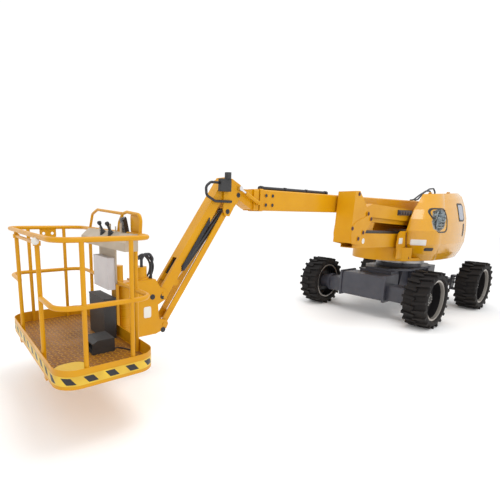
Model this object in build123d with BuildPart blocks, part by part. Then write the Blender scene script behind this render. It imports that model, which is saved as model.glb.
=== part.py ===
"""Diesel boom lift on rough-terrain wheels: two stacked folding arms, telescopic boom, jib and basket.

Frame: +X runs from the turret towards the basket, +Y to the left, +Z up, ground at Z = 0.
The origin is under the middle of the stowed length. Lengths are millimetres. Points given as
(x, z) or (x, y) count x from the slewing axis, which the planes below move to its place.
"""
import math
import os

from build123d import *

os.makedirs("parts", exist_ok=True)

# ---------------------------------------------------------------- wheels
WHEEL_BASE = 2170.0
TRACK = 1980.0
RUNNING = 0.3
TYRE_R = 460.0
TYRE_SIDES = 40
TYRE_HALF_W = 178.0
SIDEWALL_R = 392.0
SHOULDER_HALF_W = 173.0
SHOULDER_R = 408.0
TREAD_HALF_W = 150.0
TREAD_R = 426.0
BEAD_R = 356.0
LUG_ROOT_R = 404.0
LUG_W = 39.0
LUG_SLANT = 29.0
LUG_PAST_MIDDLE = 15.0
RIM_R = 312.5
RIM_HALF_W = 150.0
RIM_WALL = 10.0
RIM_FLANGE = 18.0
RIM_LIP_T = 12.0
DISC_OFFSET = -60.0
DISC_EDGE = -15.0
DISC_T = 14.0
DISC_FLAT_R = 195.0
HUB_R = 118.0
HUB_L = 90.0
HUB_CAP_R = 82.0
HUB_CAP_L = 24.0
HUB_CAP_T = 12.0
SPINDLE_R = 45.0
SPINDLE_GAP = 5.0

# ---------------------------------------------------------------- chassis
AXLE_X = WHEEL_BASE / 2
BEAM_L = 430.0
BEAM_TOP = 740.0
BEAM_BOTTOM = 320.0
BEAM_HALF = 390.0
BEAM_CHAMFER = 30.0
COLLAR_T = 35.0
COLLAR_LIP = 20.0
HOUSING_HALF_L = 135.0
HOUSING_HALF_H = 130.0
HOUSING_END = 700.0
DRIVE_R = 165.0
DRIVE_END = 760.0
GEARBOX_R = 125.0

FRAME_HALF = 300.0
FRAME_BOTTOM = 400.0
DECK_Z = 780.0
DECK_T = 40.0
DECK_HALF_L = 820.0
DECK_HALF_W = 440.0
GUSSET_T = 16.0
GUSSETS_X = (-560.0, -190.0, 190.0, 560.0)
PEDESTAL_R = 400.0
RING_BOTTOM = 900.0
RING_R = 440.0
RING_BORE = 300.0
RING_GROOVE = 14.0
RING_GROOVE_H = 16.0

STEER_BEAM_HALF_L = 85.0
STEER_BEAM_BOTTOM = 390.0
STEER_BEAM_TOP = 530.0
KINGPIN_Y = 740.0
KINGPIN_R = 28.0
FORK_HALF_L = 70.0
FORK_T = 35.0
FORK_ROOT = 640.0
FORK_GAP = 5.0
KNUCKLE_R = 62.0
KNUCKLE_HALF_H = 110.0
KNUCKLE_FLANGE_R = 82.0
ARM_LENGTH = 190.0
ARM_T = 24.0
ARM_HALF_WIDTH = 28.0
TIE_R = 18.0
TIE_EYE_R = 24.0
TIE_DROP = 22.0
TIE_EYE_LIP = 3.0
STEER_CYL_BACK = 150.0
STEER_CYL_R = 32.0
STEER_ROD_R = 16.0
STEER_CYL_Y = 150.0
STEER_CYL_L = 330.0
STEER_CYL_BLOCK = 60.0
STEER_EYE_R = 30.0
STEER_EYE_HALF_H = 28.0

# ---------------------------------------------------------------- turret deck, walls and cover
BASE_BOTTOM = 1000.0
BASE_T = 50.0
NOSE_X = 1130.0
NOSE_SIDE = (700.0, 560.0)
FLANK_MIDDLE = (50.0, 700.0)
FLANK_REAR = (-600.0, 640.0)
TAIL_SIDE = (-980.0, 400.0)
TAIL_X = -1130.0
SKIRT_FROM = 740.0
SKIRT_TOP = 1235.0
SKIRT_T = 14.0
WALL_LEFT = 436.0
WALL_RIGHT = 166.0
WALL_T = 10.0
COVER_T = 20.0
COVER = (
    # x, z of the flat cover beside the arms, ahead of the left hood
    (740.0, 1050.0), (770.0, 1210.0), (810.0, 1370.0), (815.0, 1520.0), (1020.0, 1520.0), (1080.0, 1483.0),
    (1118.0, 1290.0), (1080.0, 1200.0), (1080.0, 1050.0),
)
COUNTERWEIGHT_FRONT = -1000.0
COUNTERWEIGHT_TOP = 1470.0
COUNTERWEIGHT_GAP = 4.0
ARM_Y = 280.0
EAR_T = 20.0
EAR_GAP = 120.0

# ---------------------------------------------------------------- hoods
HOOD_LEVELS = (
    # z at the slewing axis, forward tilt in degrees, front x, corner radius behind, highest for the right hood
    (1000.0, 0.0, 610.0, 260.0, True),
    (1130.0, 0.0, 705.0, 325.0, True),
    (1300.0, 0.0, 775.0, 375.0, True),
    (1530.0, 0.0, 800.0, 380.0, True),
    (1740.0, 1.0, 715.0, 360.0, True),
    (1925.0, 3.0, 610.0, 310.0, True),
    (2065.0, 6.0, 470.0, 240.0, False),
    (2185.0, 3.05, 330.0, 165.0, False),
)
RIGHT_HOOD_TOP = (2045.0, 2.0, 520.0, 250.0)
HOOD_ROOM_LEVELS = (0, 2, 3, 5, 6, 7)
HOOD_REAR_CENTRE = (-800.0, 420.0)
HOOD_BULGE = 50.0
HOOD_SIDE_RISE = 30.0
HOOD_CORNER = 430.0
HOOD_T = 16.0
HOOD_DROP_GAP = 3.0
HINGE_IN = 9.7
HINGE_RISE = 16.0
HINGE_R = 13.0
HINGE_PIN_R = 7.0
HINGE_L = 90.0
HINGE_FOOT = 60.0
HINGE_GAP = 1.0
HINGES_X = (120.0, -780.0)
WINDOW = (
    # x, z of the air outlet in the left hood
    (380.0, 1906.0), (485.0, 1868.0), (576.0, 1690.0), (580.0, 1570.0), (489.0, 1520.0), (292.0, 1585.0),
    (190.0, 1805.0), (240.0, 1890.0),
)
WINDOW_CENTRE = (385.0, 1712.0)
GRILLE_SCALE = 0.9985
LOUVRES = 7
LOUVRE_PITCH = 48.0
LOUVRE_H = 26.0
LOUVRE_HALF_L = 150.0
LOUVRE_RIB = 8.0
LOUVRE_SCALE = 0.86
LATCH = (560.0, 1215.0)
LATCH_HALF_L = 45.0
LATCH_HALF_H = 22.0
LATCH_DEPTH = 6.0

# ---------------------------------------------------------------- folding arms, (x, z) of their pins
PIN_R = 26.0
PIN_HEAD_R = 36.0
PIN_HEAD_T = 8.0
BOSS_R = 48.0
BOSS_T = 30.0
LOWER_REAR = (-750.0, 1340.0)
LOWER_FRONT = (2310.0, 1430.0)
LOWER_LOW = -145.0
LOWER_HIGH = 80.0
LOWER_TIE_STEP = (-120.0, 90.0)
LOWER_TIE_ROOM = (200.0, 52.0)
LOWER_TIE_H = 64.0
UPPER_FRONT = (2090.0, 1800.0)
UPPER_LENGTH = 2850.0
UPPER_DROP = 3.0
UPPER_TOP = 163.0
UPPER_UNDER = 40.0
UPPER_NOSE = (190.0, 76.0)
UPPER_TIE_STEP = (-91.0, -77.0)
UPPER_TIE_H = 76.0
ARM_HALF_W = 100.0
ARM_PLATE = 10.0
ARM_END = 40.0
ARM_TIE_HALF_W = 50.0
VALVE_BLOCK = (600.0, 1070.0, 1785.0, 1875.0)
VALVE_BLOCK_T = 45.0
VALVES = 5
VALVE_R = 30.0
DOUBLER_T = 8.0
LIFT_BASE = (-200.0, 1112.0)
LIFT_EYE = (850.0, 1165.0)
LIFT_BARREL_R = 50.0
LIFT_ROD_R = 30.0
LIFT_BARREL_L = 780.0
LIFT_LUG_HALF_L = 110.0
LIFT_LUG_T = 16.0
CYLINDER_EYE_R = 45.0
LIFT_EYE_HALF_W = 53.0
BOOM_EYE_HALF_W = 45.0
EYE_SIDE_GAP = 5.0
ROD_START = 60.0

# ---------------------------------------------------------------- telescopic boom
BOOM_PIVOT = (-900.0, 1940.0)
BOOM_REAR = -985.0
BOOM_REAR_BLOCK = 250.0
BOOM_MOUTH = 4080.0
BOOM_HALF_W = 100.0
BOOM_HALF_H = 130.0
BOOM_WALL = 12.0
BOOM_EDGE = 14.0
MOUTH_COLLAR_L = 60.0
MOUTH_COLLAR_T = 8.0
INNER_GAP = 8.0
INNER_WALL = 10.0
INNER_REAR = -340.0
PAD_R = 26.0
PAD_REACH = 5.0
PADS_X = (110.0, 230.0)
PADS_Z = (-58.0, 58.0)
HEAD_GAP = 15.0
HEAD_BOX_L = 85.0
NOSE_PLATE_T = 18.0
NOSE_PLATE_Y = 80.0
BOOM_CYL_BASE = (-560.0, 1540.0)
BOOM_CYL_EYE = (700.0, 1715.0)
BOOM_BARREL_R = 55.0
BOOM_ROD_R = 32.0
BOOM_BARREL_L = 980.0
BOOM_LUG_T = 20.0
KNUCKLE_PLATE = 20.0
BOOM_PLATE_Y = 120.0
HOSE_TUBE_R = 24.0
HOSE_TUBE_REAR = 2560.0
HOSE_TUBE_MARGIN = 20.0
CLAMPS = 4
CLAMP_L = 40.0
CLAMP_RIM = 6.0

# ---------------------------------------------------------------- jib and bracket, (x, z) of their pins
TIP_PIVOT = (4440.0, 1985.0)
LEVEL_BASE = (4130.0, 1905.0)
LEVEL_EYE = (4436.0, 2060.0)
LEVEL_Y = 130.0
LEVEL_R = 22.0
LEVEL_ROD_R = 12.0
LEVEL_BARREL_L = 240.0
LEVEL_EYE_R = 26.0
LEVEL_PIN_R = 14.0
LEVEL_EYE_HALF_W = 20.0
JIB_TOP = (4600.0, 2120.0)
JIB_LENGTH = 1493.0
JIB_ANGLE = -55.0
JIB_TIE_STEP = (0.0, -330.0)
JIB_HALF_W = 78.0
JIB_H = 120.0
JIB_PLATE = 8.0
JIB_END = 30.0
JIB_BOSS_R = 44.0
JIB_BOSS_T = 24.0
JIB_TIE_Y = 55.0
JIB_TIE_T = 16.0
JIB_TIE_H = 70.0
JIB_TIE_WEB = (1330.0, 1430.0)
JIB_PIN_R = 22.0
CHEEK_Y = 84.0
CHEEK_T = 18.0
JIB_EYE_AT = 1300.0
JIB_EYE_DROP = 80.0
JIB_EYE_HALF_W = 40.0
JIB_EYE_R = 38.0
JIB_LUG_T = 8.0
JIB_LUG_HALF_L = 40.0
JIB_LUG_GAP = 2.0
JIB_BARREL_R = 36.0
JIB_ROD_R = 20.0
JIB_BARREL_L = 860.0
JIB_ROD_START = 110.0
JIB_OPENING = (1066.0, 1455.0)
HEAD_VALVE = (4600.0, 4750.0, 2015.0, 2155.0)
HEAD_VALVE_T = 55.0
HEAD_CAP = (4650.0, 150.0, 38.0, 2225.0)

BRACKET_BACK_T = 50.0
BRACKET_TOP_T = 30.0
ACTUATOR_X = 5690.0
ACTUATOR_R = 72.0
ACTUATOR_H = 130.0
ACTUATOR_FLANGE_T = 18.0
ACTUATOR_FLANGE = 20.0
ROTATOR_X = 5865.0
ROTATOR_R = 66.0
ROTATOR_BOTTOM = 560.0
ROTATOR_TOP = 1040.0
ROTATOR_RIBS = 5
MOUNT_T = 30.0
MOUNT_HALF_W = 60.0
MOUNT_LIP = 5.0
DRUM_X = 5930.0
DRUM_R = 50.0
DRUM_H = 170.0

# ---------------------------------------------------------------- basket
BASKET_X = 6380.0
BASKET_L = 1800.0
BASKET_W = 800.0
BASKET_CORNER = 170.0
FLOOR_BOTTOM = 500.0
FLOOR_T = 40.0
FLOOR_SKIN = 6.0
FLOOR_RIB = 24.0
FLOOR_BAYS = 5
TOE_H = 150.0
TOE_T = 5.0
RAIL_R = 20.0
RAIL_TOP_Z = 1580.0
RAIL_MIDDLE_Z = 1100.0
POST_R = 18.0
END_POST_X = 185.0
GATE_HALF_W = 420.0
INNER_POST_Y = 560.0
GATE_Z = 1526.0
GATE_R = 15.0
GATE_COLLAR_R = 28.0
GATE_COLLAR_HALF_H = 18.0
GATE_STOP_GAP = 5.0
GUARD_R = 14.0
GUARD_BEND = 60.0
GUARDS = (
    # (y, z) points of the two hoops that guard the console
    ((-548.0, 1580.0), (-457.0, 1737.0), (-306.0, 1784.0), (300.0, 1754.0)),
    ((208.0, 1580.0), (237.0, 1677.0), (315.0, 1753.0), (400.0, 1769.0), (671.0, 1748.0), (649.0, 1580.0)),
)
ANCHOR_X = (6280.0, 6450.0)
ANCHOR_BOTTOM = 1475.0
ANCHOR_T = 10.0
ANCHOR_HOLE_R = 16.0
ANCHOR_HOLES_X = (6320.0, 6410.0)
ANCHOR_HOLE_Z = 1515.0
TOE_LUG_Y = (-500.0, 500.0)
TOE_LUG_HALF_W = 30.0
TOE_LUG_H = 45.0
CONSOLE_Y = (-420.0, 650.0)
CONSOLE_BACK_T = 16.0
CONSOLE_DEPTH = 120.0
CONSOLE_BOTTOM = 1450.0
CONSOLE_TOP = 1590.0
CONSOLE_FRONT_H = 70.0
CONSOLE_TOP_L = 45.0
CONSOLE_PANEL_HALF_W = 200.0
STICKS = (
    # y, radius, height of the joystick and levers on the console
    (168.0, 11.0, 70.0), (300.0, 6.0, 50.0), (410.0, 9.0, 80.0), (-60.0, 16.0, 30.0),
)
BOOK_BOX_Y = (-180.0, 190.0)
BOOK_BOX_Z = (1040.0, 1345.0)
BOOK_BOX_T = 70.0
TOOL_BOX_Y = (-250.0, 150.0)
TOOL_BOX_TOP = 950.0
TOOL_BOX_T = 120.0
BOX_LID_T = 12.0
BOX_WALL = 4.0
SWITCH_X = (6170.0, 6370.0)
SWITCH_Y = (230.0, 450.0)
SWITCH_H = 125.0
SWITCH_LOW_H = 30.0
SWITCH_WALL = 8.0
PEDAL_T = 14.0

# ---------------------------------------------------------------- hoses and cable, chosen point by point
HOSE_R = 15.0
CABLE_R = 6.0
BOOM_HOSES = (
    # y of the hose, then its (x, z) points over the rear of the boom
    (44.0, ((-940.0, 2085.3), (-1010.0, 2085.3), (-1110.0, 2150.0), (-1190.0, 2270.0), (-1080.0, 2350.0), (-880.0, 2330.0),
            (-640.0, 2240.0), (-420.0, 2110.0), (-300.0, 2085.3))),
    (-10.0, ((-930.0, 2085.3), (-1000.0, 2085.3), (-1150.0, 2220.0), (-1050.0, 2300.0), (-860.0, 2290.0),
             (-600.0, 2200.0), (-360.0, 2100.0), (-220.0, 2085.3))),
)
HOSE_BEND = 45.0
HEAD_HOSE = ((4750.0, 2110.0), (4870.0, 2110.0), (4935.0, 2060.0), (4925.0, 1965.0), (4800.0, 1905.0),
             (4560.0, 1905.0))
HEAD_HOSE_BEND = 55.0
BRACKET_HOSE_Y = 40.0
BRACKET_HOSE = ((5690.0, 1210.0), (5690.0, 1290.0), (5660.0, 1340.0), (5595.0, 1340.0), (5560.0, 1290.0),
                (5582.0, 1215.0), (5582.0, 1080.0))
BRACKET_HOSE_BEND = 35.0
CABLE = (
    # x, y, z from the foot switch along the floor and up inside the rear post to the console
    (6170.0, 400.0, 547.0), (6120.0, 400.0, 547.0), (6075.0, 470.0, 547.0), (6035.0, 556.0, 547.0),
    (6032.0, 556.0, 640.0), (6032.0, 556.0, 1370.0), (6044.0, 556.0, 1410.0), (6044.0, 556.0, 1450.0),
)
CABLE_BEND = 32.0

SLEW_X = -(BASKET_X + BASKET_W / 2 - AXLE_X - TYRE_R) / 2


# ---------------------------------------------------------------- planes and repeated shapes
def side(y):
    """Upright plane at y, drawn in (x, z), facing -Y."""
    return Plane(origin=(SLEW_X, y, 0), x_dir=(1, 0, 0), z_dir=(0, -1, 0))


def plan(z):
    """Level plane at z, drawn in (x, y)."""
    return Plane(origin=(SLEW_X, 0, z))


def across(x):
    """Upright plane at x, drawn in (y, z), facing +X."""
    return Plane(origin=(SLEW_X + x, 0, 0), x_dir=(0, 1, 0), z_dir=(1, 0, 0))


def plate(points, y_min, y_max, mode=Mode.ADD):
    """A plate cut to an (x, z) outline, from y_min to y_max."""
    with BuildSketch(side(y_max)) as outline:
        with BuildLine():
            Polyline(*points, close=True)
        make_face()
    extrude(outline.sketch, amount=y_max - y_min, mode=mode)


def slab(points, z_min, z_max, mode=Mode.ADD):
    """A slab cut to an (x, y) outline, from z_min to z_max."""
    with BuildSketch(plan(z_min)) as outline:
        with BuildLine():
            Polyline(*points, close=True)
        make_face()
    extrude(outline.sketch, amount=z_max - z_min, mode=mode)


def block(x_min, x_max, y_min, y_max, z_min, z_max, mode=Mode.ADD):
    """A square-edged block between six faces."""
    slab([(x_min, y_min), (x_max, y_min), (x_max, y_max), (x_min, y_max)], z_min, z_max, mode)


def pin(centre, radius, y_min, y_max, mode=Mode.ADD):
    """A round pin, boss or bore along Y at an (x, z) centre."""
    with BuildSketch(side(y_max)) as outline:
        with Locations(centre):
            Circle(radius)
    extrude(outline.sketch, amount=y_max - y_min, mode=mode)


def headed_pin(centre, radius, y_min, y_max):
    """A pivot pin with a flat head outside each of its plates."""
    pin(centre, radius, y_min, y_max)
    pin(centre, radius + PIN_HEAD_R - PIN_R, y_min - PIN_HEAD_T, y_min)
    pin(centre, radius + PIN_HEAD_R - PIN_R, y_max, y_max + PIN_HEAD_T)


def bar(start, end, height, y_min, y_max, mode=Mode.ADD):
    """A flat bar with round ends between two (x, z) pins."""
    run = (end[0] - start[0], end[1] - start[1])
    middle = ((start[0] + end[0]) / 2, (start[1] + end[1]) / 2)
    with BuildSketch(side(y_max)) as outline:
        with Locations(middle):
            SlotCenterToCenter(math.hypot(*run), height, rotation=math.degrees(math.atan2(run[1], run[0])))
    extrude(outline.sketch, amount=y_max - y_min, mode=mode)


def beside(start, end, along, up):
    """The (x, z) point at a distance along a line of two points and up from it."""
    length = math.dist(start, end)
    run = ((end[0] - start[0]) / length, (end[1] - start[1]) / length)
    return (start[0] + run[0] * along - run[1] * up, start[1] + run[1] * along + run[0] * up)


def strip(start, end, low, high, y_min, y_max, extra=0.0, mode=Mode.ADD):
    """A square-ended strip along two (x, z) pins, from low to high of their line, longer by extra."""
    length = math.dist(start, end)
    plate([
        beside(start, end, -extra, low), beside(start, end, length + extra, low),
        beside(start, end, length + extra, high), beside(start, end, -extra, high),
    ], y_min, y_max, mode)


def rod(start, end, radius, y, mode=Mode.ADD):
    """A round bar or tube along the line of two (x, z) points at y."""
    run = (end[0] - start[0], 0, end[1] - start[1])
    with BuildSketch(Plane(origin=(SLEW_X + start[0], y, start[1]), z_dir=run)) as outline:
        Circle(radius)
    extrude(outline.sketch, amount=math.dist(start, end), mode=mode)


def upright(x, y, radius, z_min, z_max, mode=Mode.ADD):
    """A round column, boss or bore along Z."""
    with BuildSketch(plan(z_min)) as outline:
        with Locations((x, y)):
            Circle(radius)
    extrude(outline.sketch, amount=z_max - z_min, mode=mode)


def tube(points, radius, bend, closed=False):
    """A round tube swept along (x, y, z) points, its corners rounded to one bend."""
    placed = [(SLEW_X + x, y, z) for x, y, z in points]
    with BuildLine() as route:
        FilletPolyline(*placed, radius=bend, close=closed)
    with BuildSketch(Plane(origin=route.line @ 0, z_dir=route.line % 0)) as section:
        Circle(radius)
    sweep(section.sketch, path=route.line)


def between(start, end, distance):
    """The (x, z) point at a distance from start towards end."""
    return beside(start, end, distance, 0.0)


def stepped(point, step):
    """An (x, z) point moved by a step."""
    return (point[0] + step[0], point[1] + step[1])


def turned(point, centre, degrees):
    """An (x, z) point turned about a centre, positive when +X goes towards +Z."""
    angle = math.radians(degrees)
    x, z = point[0] - centre[0], point[1] - centre[1]
    return (centre[0] + x * math.cos(angle) - z * math.sin(angle),
            centre[1] + x * math.sin(angle) + z * math.cos(angle))


def finish(part, label):
    """Labels a finished piece and writes it."""
    part.label = label
    export_step(part, f"parts/{label}.step")


UPPER_REAR = turned((UPPER_FRONT[0] - UPPER_LENGTH, UPPER_FRONT[1]), UPPER_FRONT, UPPER_DROP)
JIB_BOTTOM = turned((JIB_TOP[0] + JIB_LENGTH, JIB_TOP[1]), JIB_TOP, JIB_ANGLE)
JIB_EYE = beside(JIB_TOP, JIB_BOTTOM, JIB_EYE_AT, -JIB_EYE_DROP)

WHEELS = (
    # name, x, side of the machine (+1 left)
    ("front_left", AXLE_X, 1),
    ("front_right", AXLE_X, -1),
    ("rear_left", -AXLE_X, 1),
    ("rear_right", -AXLE_X, -1),
)
BODY_SIDES = (("left", 1), ("right", -1))


# ---------------------------------------------------------------- wheels
def wheel_section(y, radius):
    """One polygon of the tyre's faceted carcass, with a flat facing the ground."""
    with BuildSketch(Plane(origin=(0, y, 0), x_dir=(1, 0, 0), z_dir=(0, -1, 0))) as outline:
        RegularPolygon(radius, TYRE_SIDES, major_radius=False, rotation=180 / TYRE_SIDES)
    return outline.sketch


def lug_plane(number):
    """The plane at the root of a tread lug, facing out of the tyre; number counts facets from the ground."""
    angle = math.radians(-90 + number * 360 / TYRE_SIDES)
    outward = (math.cos(angle), 0, math.sin(angle))
    return Plane(origin=(LUG_ROOT_R * outward[0], 0, LUG_ROOT_R * outward[2]),
                 x_dir=(-outward[2], 0, outward[0]), z_dir=outward)


def ring(profile, mode=Mode.ADD):
    """A ring about the wheel's axis from a (y, radius) outline; y counts from the tyre's middle."""
    with BuildSketch(Plane(origin=(0, 0, 0), x_dir=(0, 1, 0), z_dir=(1, 0, 0))) as outline:
        with BuildLine():
            Polyline(*profile, close=True)
        make_face()
    revolve(outline.sketch, axis=Axis.Y, mode=mode)


BEAD_SEAT = RIM_HALF_W - RIM_LIP_T - RUNNING
with BuildPart() as tyre:
    loft([
        wheel_section(-TYRE_HALF_W, SIDEWALL_R), wheel_section(-SHOULDER_HALF_W, SHOULDER_R),
        wheel_section(-TREAD_HALF_W, TREAD_R), wheel_section(TREAD_HALF_W, TREAD_R),
        wheel_section(SHOULDER_HALF_W, SHOULDER_R), wheel_section(TYRE_HALF_W, SIDEWALL_R),
    ], ruled=True)
    for row, reach in ((0, -1), (1, 1)):
        planes = [lug_plane(number) for number in range(row, TYRE_SIDES, 2)]
        inner = -reach * LUG_PAST_MIDDLE
        outer = reach * TYRE_HALF_W
        half_t = (LUG_W + LUG_SLANT) / 2
        with BuildSketch(*planes) as lugs:
            with BuildLine():
                Polyline((-half_t, inner), (LUG_W - half_t, inner), (half_t, outer), (half_t - LUG_W, outer),
                         close=True)
            make_face()
        extrude(lugs.sketch, amount=TYRE_R - LUG_ROOT_R)
    extrude(wheel_section(TYRE_HALF_W, RIM_R + RUNNING), amount=2 * TYRE_HALF_W, mode=Mode.SUBTRACT)
    for reach in (-1, 1):
        loft([wheel_section(reach * BEAD_SEAT, RIM_R + RIM_FLANGE + RUNNING),
              wheel_section(reach * (TYRE_HALF_W + RUNNING), BEAD_R)], ruled=True, mode=Mode.SUBTRACT)
for wheel, wheel_x, hand in WHEELS:
    finish(tyre.part.moved(Location((SLEW_X + wheel_x, hand * TRACK / 2, TYRE_R))), f"tyre_{wheel}")

HUB_FACE = DISC_OFFSET + DISC_T / 2 + HUB_L
for hand in (1, -1):
    with BuildPart() as rim:
        ring([
            (-RIM_HALF_W, RIM_R + RIM_FLANGE), (RIM_LIP_T - RIM_HALF_W, RIM_R + RIM_FLANGE),
            (RIM_LIP_T - RIM_HALF_W, RIM_R), (RIM_HALF_W - RIM_LIP_T, RIM_R),
            (RIM_HALF_W - RIM_LIP_T, RIM_R + RIM_FLANGE), (RIM_HALF_W, RIM_R + RIM_FLANGE),
            (RIM_HALF_W, RIM_R - RIM_WALL), (-RIM_HALF_W, RIM_R - RIM_WALL),
        ])
        dish = (
            (DISC_OFFSET - DISC_T / 2, SPINDLE_R + RUNNING), (DISC_OFFSET - DISC_T / 2, DISC_FLAT_R),
            (DISC_EDGE - DISC_T / 2, RIM_R - RIM_WALL / 2), (DISC_EDGE + DISC_T / 2, RIM_R - RIM_WALL / 2),
            (DISC_OFFSET + DISC_T / 2, DISC_FLAT_R), (DISC_OFFSET + DISC_T / 2, HUB_R), (HUB_FACE, HUB_R),
            (HUB_FACE, HUB_CAP_R), (HUB_FACE + HUB_CAP_L, HUB_CAP_R), (HUB_FACE + HUB_CAP_L, 0),
            (HUB_FACE + HUB_CAP_L - HUB_CAP_T, 0), (HUB_FACE + HUB_CAP_L - HUB_CAP_T, SPINDLE_R + RUNNING),
        )
        ring([(hand * y, radius) for y, radius in dish])
    for wheel, wheel_x, wheel_hand in WHEELS:
        if wheel_hand == hand:
            finish(rim.part.moved(Location((SLEW_X + wheel_x, hand * TRACK / 2, TYRE_R))), f"rim_{wheel}")


def lathe(centre_x, hand, steps):
    """Round steps about a wheel's axis; each step is (radius, from y, to y), y from the middle plane."""
    for radius, y_from, y_to in steps:
        low, high = sorted((hand * y_from, hand * y_to))
        pin((centre_x, TYRE_R), radius, low, high)


# ---------------------------------------------------------------- chassis
SPINDLE_END = TRACK / 2 + HUB_FACE + HUB_CAP_L - HUB_CAP_T - SPINDLE_GAP
DISC_FACE = TRACK / 2 + DISC_OFFSET - DISC_T / 2
STEER_EYE_X = -AXLE_X - STEER_CYL_BACK
STEER_CYL_Z = TYRE_R + ARM_T / 2 + STEER_CYL_R + FORK_GAP
DECK_TOP = DECK_Z + DECK_T

with BuildPart() as chassis_frame:
    block(STEER_BEAM_HALF_L - AXLE_X, AXLE_X - BEAM_L / 2, -FRAME_HALF, FRAME_HALF, FRAME_BOTTOM, DECK_Z)
    slab([
        (-DECK_HALF_L, -DECK_HALF_W / 2), (-DECK_HALF_L / 2, -DECK_HALF_W), (DECK_HALF_L / 2, -DECK_HALF_W),
        (DECK_HALF_L, -DECK_HALF_W / 2), (DECK_HALF_L, DECK_HALF_W / 2), (DECK_HALF_L / 2, DECK_HALF_W),
        (-DECK_HALF_L / 2, DECK_HALF_W), (-DECK_HALF_L, DECK_HALF_W / 2),
    ], DECK_Z, DECK_TOP)
    for x in GUSSETS_X:
        reach = DECK_HALF_W - max(0.0, (abs(x) - DECK_HALF_L / 2) * DECK_HALF_W / DECK_HALF_L)
        with BuildSketch(across(x - GUSSET_T / 2)) as gusset:
            with BuildLine():
                Polyline((-reach, DECK_Z), (-FRAME_HALF, FRAME_BOTTOM), (FRAME_HALF, FRAME_BOTTOM), (reach, DECK_Z),
                         close=True)
            make_face()
        extrude(gusset.sketch, amount=GUSSET_T)
    upright(0, 0, PEDESTAL_R, DECK_TOP, RING_BOTTOM)
finish(chassis_frame.part, "chassis_frame")

with BuildPart() as fixed_axle:
    with BuildSketch(side(BEAM_HALF)) as beam:
        with Locations((AXLE_X, (BEAM_BOTTOM + BEAM_TOP) / 2)):
            Rectangle(BEAM_L, BEAM_TOP - BEAM_BOTTOM)
        chamfer(beam.vertices().group_by(Axis.Z)[0], length=BEAM_CHAMFER)
    extrude(beam.sketch, amount=2 * BEAM_HALF)
    for hand in (1, -1):
        low, high = sorted((hand * BEAM_HALF, hand * (BEAM_HALF + COLLAR_T)))
        block(AXLE_X - BEAM_L / 2 - COLLAR_LIP, AXLE_X + BEAM_L / 2 + COLLAR_LIP, low, high,
              BEAM_BOTTOM - COLLAR_LIP, BEAM_TOP + COLLAR_LIP)
        low, high = sorted((hand * (BEAM_HALF + COLLAR_T), hand * HOUSING_END))
        block(AXLE_X - HOUSING_HALF_L, AXLE_X + HOUSING_HALF_L, low, high,
              TYRE_R - HOUSING_HALF_H, TYRE_R + HOUSING_HALF_H)
        lathe(AXLE_X, hand, (
            (DRIVE_R, HOUSING_END, DRIVE_END),
            (GEARBOX_R, DRIVE_END, DISC_FACE - SPINDLE_GAP),
            (SPINDLE_R, DISC_FACE - SPINDLE_GAP, SPINDLE_END),
        ))
finish(fixed_axle.part, "fixed_axle")

FORK_LOW = TYRE_R - KNUCKLE_HALF_H - FORK_GAP - FORK_T
FORK_HIGH = TYRE_R + KNUCKLE_HALF_H + FORK_GAP
with BuildPart() as steer_axle:
    block(-AXLE_X - STEER_BEAM_HALF_L, -AXLE_X + STEER_BEAM_HALF_L, -FORK_ROOT, FORK_ROOT,
          STEER_BEAM_BOTTOM, STEER_BEAM_TOP)
    for hand in (1, -1):
        low, high = sorted((hand * FORK_ROOT, hand * (KINGPIN_Y + KNUCKLE_R)))
        for z in (FORK_LOW, FORK_HIGH):
            block(-AXLE_X - FORK_HALF_L, -AXLE_X + FORK_HALF_L, low, high, z, z + FORK_T)
        low, high = sorted((hand * (FORK_ROOT - FORK_T), hand * FORK_ROOT))
        block(-AXLE_X - FORK_HALF_L, -AXLE_X + FORK_HALF_L, low, high, FORK_LOW, FORK_HIGH + FORK_T)
        upright(-AXLE_X, hand * KINGPIN_Y, KINGPIN_R, FORK_LOW, FORK_HIGH + FORK_T)
    block(STEER_EYE_X - STEER_CYL_R, -AXLE_X - STEER_BEAM_HALF_L, STEER_CYL_Y - STEER_CYL_BLOCK, STEER_CYL_Y,
          STEER_CYL_Z - STEER_CYL_R, STEER_BEAM_TOP)
finish(steer_axle.part, "steer_axle")

with BuildPart() as steer_cylinder_barrel:
    with BuildSketch(side(STEER_CYL_Y + STEER_CYL_L)) as steer_section:
        with Locations((STEER_EYE_X, STEER_CYL_Z)):
            Circle(STEER_CYL_R)
            Circle(STEER_ROD_R + RUNNING, mode=Mode.SUBTRACT)
    extrude(steer_section.sketch, amount=STEER_CYL_L)
finish(steer_cylinder_barrel.part, "steer_cylinder_barrel")

with BuildPart() as steer_cylinder_rod:
    pin((STEER_EYE_X, STEER_CYL_Z), STEER_ROD_R, STEER_CYL_Y + 2 * STEER_CYL_BLOCK, KINGPIN_Y)
    upright(STEER_EYE_X, KINGPIN_Y, STEER_EYE_R, STEER_CYL_Z - STEER_EYE_HALF_H, STEER_CYL_Z + STEER_EYE_HALF_H)
finish(steer_cylinder_rod.part, "steer_cylinder_rod")

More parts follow.
